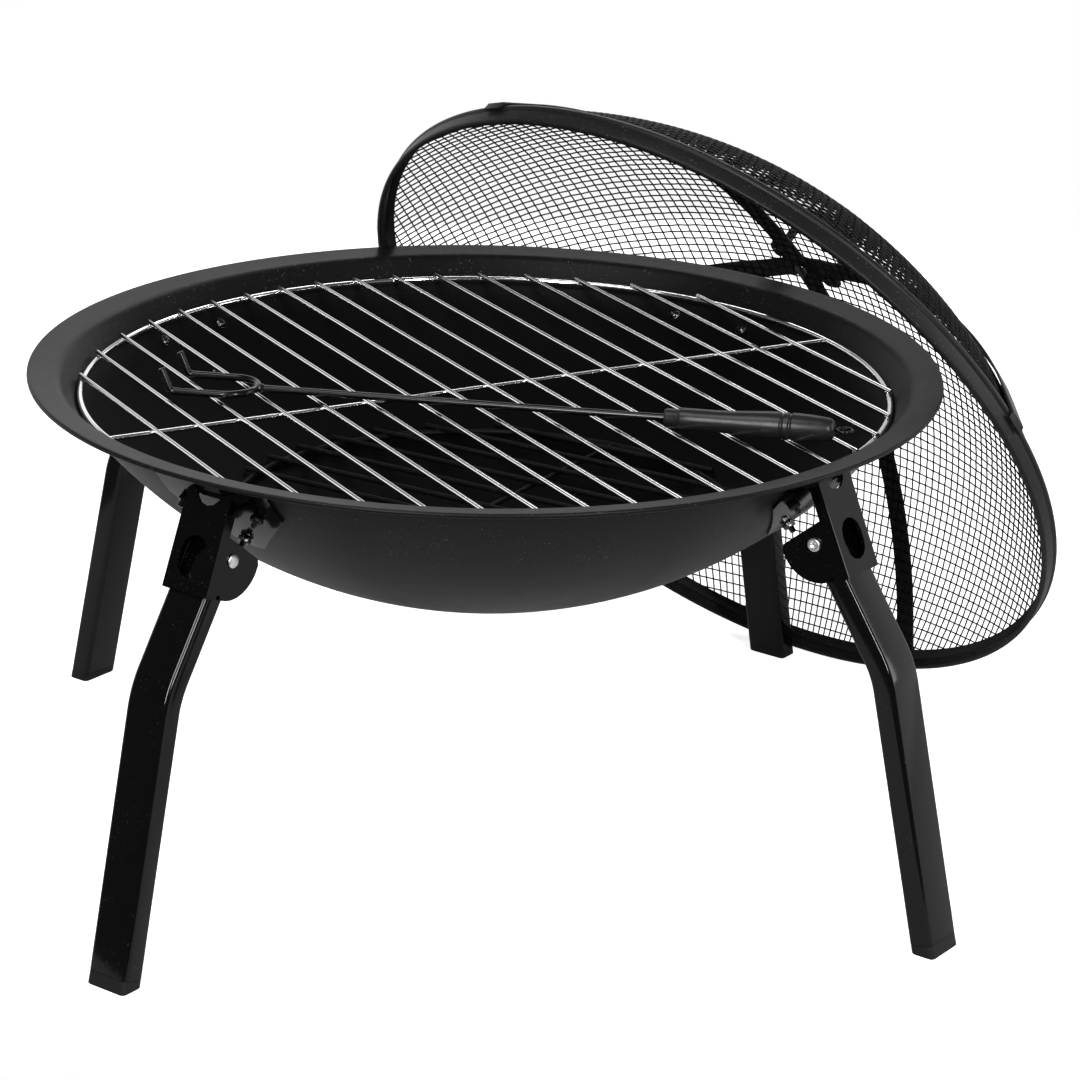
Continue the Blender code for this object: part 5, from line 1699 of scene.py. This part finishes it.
@dataclass(frozen=True)
class Softbox:
    """A lamp that faces the bowl: its place from the bowl's axis, its width and height, and its watts."""

    name: str
    spot: tuple[float, float, float]
    size: tuple[float, float]
    power: float
    target: tuple[float, float, float] = (0.0, 0.0, 0.22)

    def build(self) -> None:
        """Hang the lamp."""
        data = bpy.data.lights.new(self.name, "AREA")
        data.shape = "RECTANGLE"
        data.size, data.size_y = self.size
        data.energy = self.power
        spot = Vector(self.spot)
        facing = (Vector(self.target) - spot).to_track_quat("-Z", "Y").to_matrix().to_4x4()
        linked(self.name, data).matrix_world = Matrix.Translation(AXIS + spot) @ facing


LAMPS = (
    Softbox("key_box", (-0.9, -0.6, 2.4), (1.3, 1.0), 26.0),
    Softbox("side_box", (2.2, -0.5, 0.9), (0.8, 1.4), 14.0),
    Softbox("rear_box", (0.6, 2.0, 1.9), (1.8, 0.6), 16.0),
    Softbox("front_strip_left", (-1.25, -2.2, 1.35), (0.34, 1.2), 55.0),
    Softbox("front_strip_right", (0.75, -2.5, 1.35), (0.34, 1.2), 55.0),
)


@dataclass
class Studio:
    """Floor, lamps, world and the camera at the photograph's view."""

    stand_off: tuple[float, float, float] = (-0.2821, -2.1308, 0.9478)
    yaw: float = 0.1481
    pitch: float = -0.34392
    roll: float = 0.022325
    lens: float = 121.76
    sensor: float = 36.0
    clip_end: float = 50.0
    room: float = 0.12
    backdrop_top: Edges = (0.30, 0.50)
    backdrop_side: Edges = (-0.20, 0.25)
    backdrop_way: tuple[float, float] = (0.4, 0.9)
    floor_middle: tuple[float, float, float] = (0.35, 0.45, 0.0)
    floor_reach: float = 1.0
    floor_steps: int = 96
    floor_colour: Colour = (0.92, 0.92, 0.92)
    floor_mirrored: Colour = (0.50, 0.50, 0.50)
    floor_glow: Colour = (0.70, 0.70, 0.70)
    floor_roughness: float = 0.9
    floor_specular: float = 0.1

    def camera(self) -> None:
        """Set the camera."""
        data = bpy.data.cameras.new("photo_camera")
        data.lens = self.lens
        data.sensor_width = self.sensor
        data.clip_end = self.clip_end
        level = Vector((math.cos(self.yaw), -math.sin(self.yaw), 0.0))
        ahead = Vector((math.sin(self.yaw) * math.cos(self.pitch), math.cos(self.yaw) * math.cos(self.pitch),
                        math.sin(self.pitch)))
        above = level.cross(ahead)
        right = level * math.cos(self.roll) + above * math.sin(self.roll)
        up = above * math.cos(self.roll) - level * math.sin(self.roll)
        turn = Matrix((right, up, -ahead)).transposed().to_4x4()
        camera = linked("photo_camera", data)
        camera.matrix_world = Matrix.Translation(AXIS + Vector(self.stand_off)) @ turn
        bpy.context.scene.camera = camera

    def world(self) -> None:
        """Set a dim room with a white backdrop behind and beside the bowl; the camera sees plain white."""
        world = bpy.data.worlds.new("studio")
        world.use_nodes = True
        bpy.context.scene.world = world
        graph = Graph(world.node_tree)
        x, y, z = graph.split(graph.node("ShaderNodeTexCoord", output="Object"))
        low = 1.0 - z.ramp(*self.backdrop_top)
        behind = (x * self.backdrop_way[0] + y * self.backdrop_way[1]).ramp(*self.backdrop_side)
        camera = graph.node("ShaderNodeLightPath", output="Is Camera Ray")
        backdrop = (low * behind).math("MAXIMUM", camera)
        background = world.node_tree.nodes["Background"]
        background.inputs["Color"].default_value = (1.0, 1.0, 1.0, 1.0)
        graph.link(self.room + backdrop * (1.0 - self.room), background, "Strength")

    def floor(self) -> None:
        """Lay a white floor that glows a little for the camera, so that only the object's shadow shows."""
        mesh = bpy.data.meshes.new("studio_floor")
        middle = AXIS + Vector(self.floor_middle)
        rim = [middle + turned(self.floor_reach, angle, 0.0)
               for angle in spaced(0.0, TURN, self.floor_steps)[:-1]]
        mesh.from_pydata(rim, [], [tuple(range(self.floor_steps))])
        surface = Surface("studio_floor")
        mirrored, camera = (surface.node("ShaderNodeLightPath", output=ray)
                            for ray in ("Is Glossy Ray", "Is Camera Ray"))
        surface.drive("Base Color", surface.colour(mirrored, self.floor_colour, self.floor_mirrored))
        surface.drive("Emission Color", surface.colour(camera, (0.0, 0.0, 0.0), self.floor_glow))
        surface.fix("Emission Strength", 1.0)
        surface.fix("Roughness", self.floor_roughness)
        surface.fix("Specular IOR Level", self.floor_specular)
        mesh.materials.append(surface.material)
        linked("studio_floor", mesh)

    def build(self) -> None:
        """Set the whole studio."""
        bpy.context.scene.view_settings.view_transform = "Standard"
        self.camera()
        self.world()
        self.floor()
        for lamp in LAMPS:
            lamp.build()


def main() -> None:
    """Build every sub-assembly in order."""
    logging.basicConfig(level=logging.INFO, format="%(name)s: %(message)s")
    bowl = Bowl()
    Studio().build()
    bowl.build()
    Stand().build(bowl)
    Grate("charcoal_grate", COAL_PAINT, "grate_paint", ring=0.15797, wire=0.0040, bar=0.0034, spacing=0.0285,
          count=11, overhang=0.0070, azimuth=math.radians(-40.0)).build()
    Grate("cooking_grate", CHROME, "chrome_plate", ring=0.24798, wire=0.0040, bar=0.0030, spacing=0.0275,
          count=17, overhang=0.0016, azimuth=math.radians(-70.05)).build()
    Poker().build()
    Lid().build()


if __name__ == "__main__":
    main()
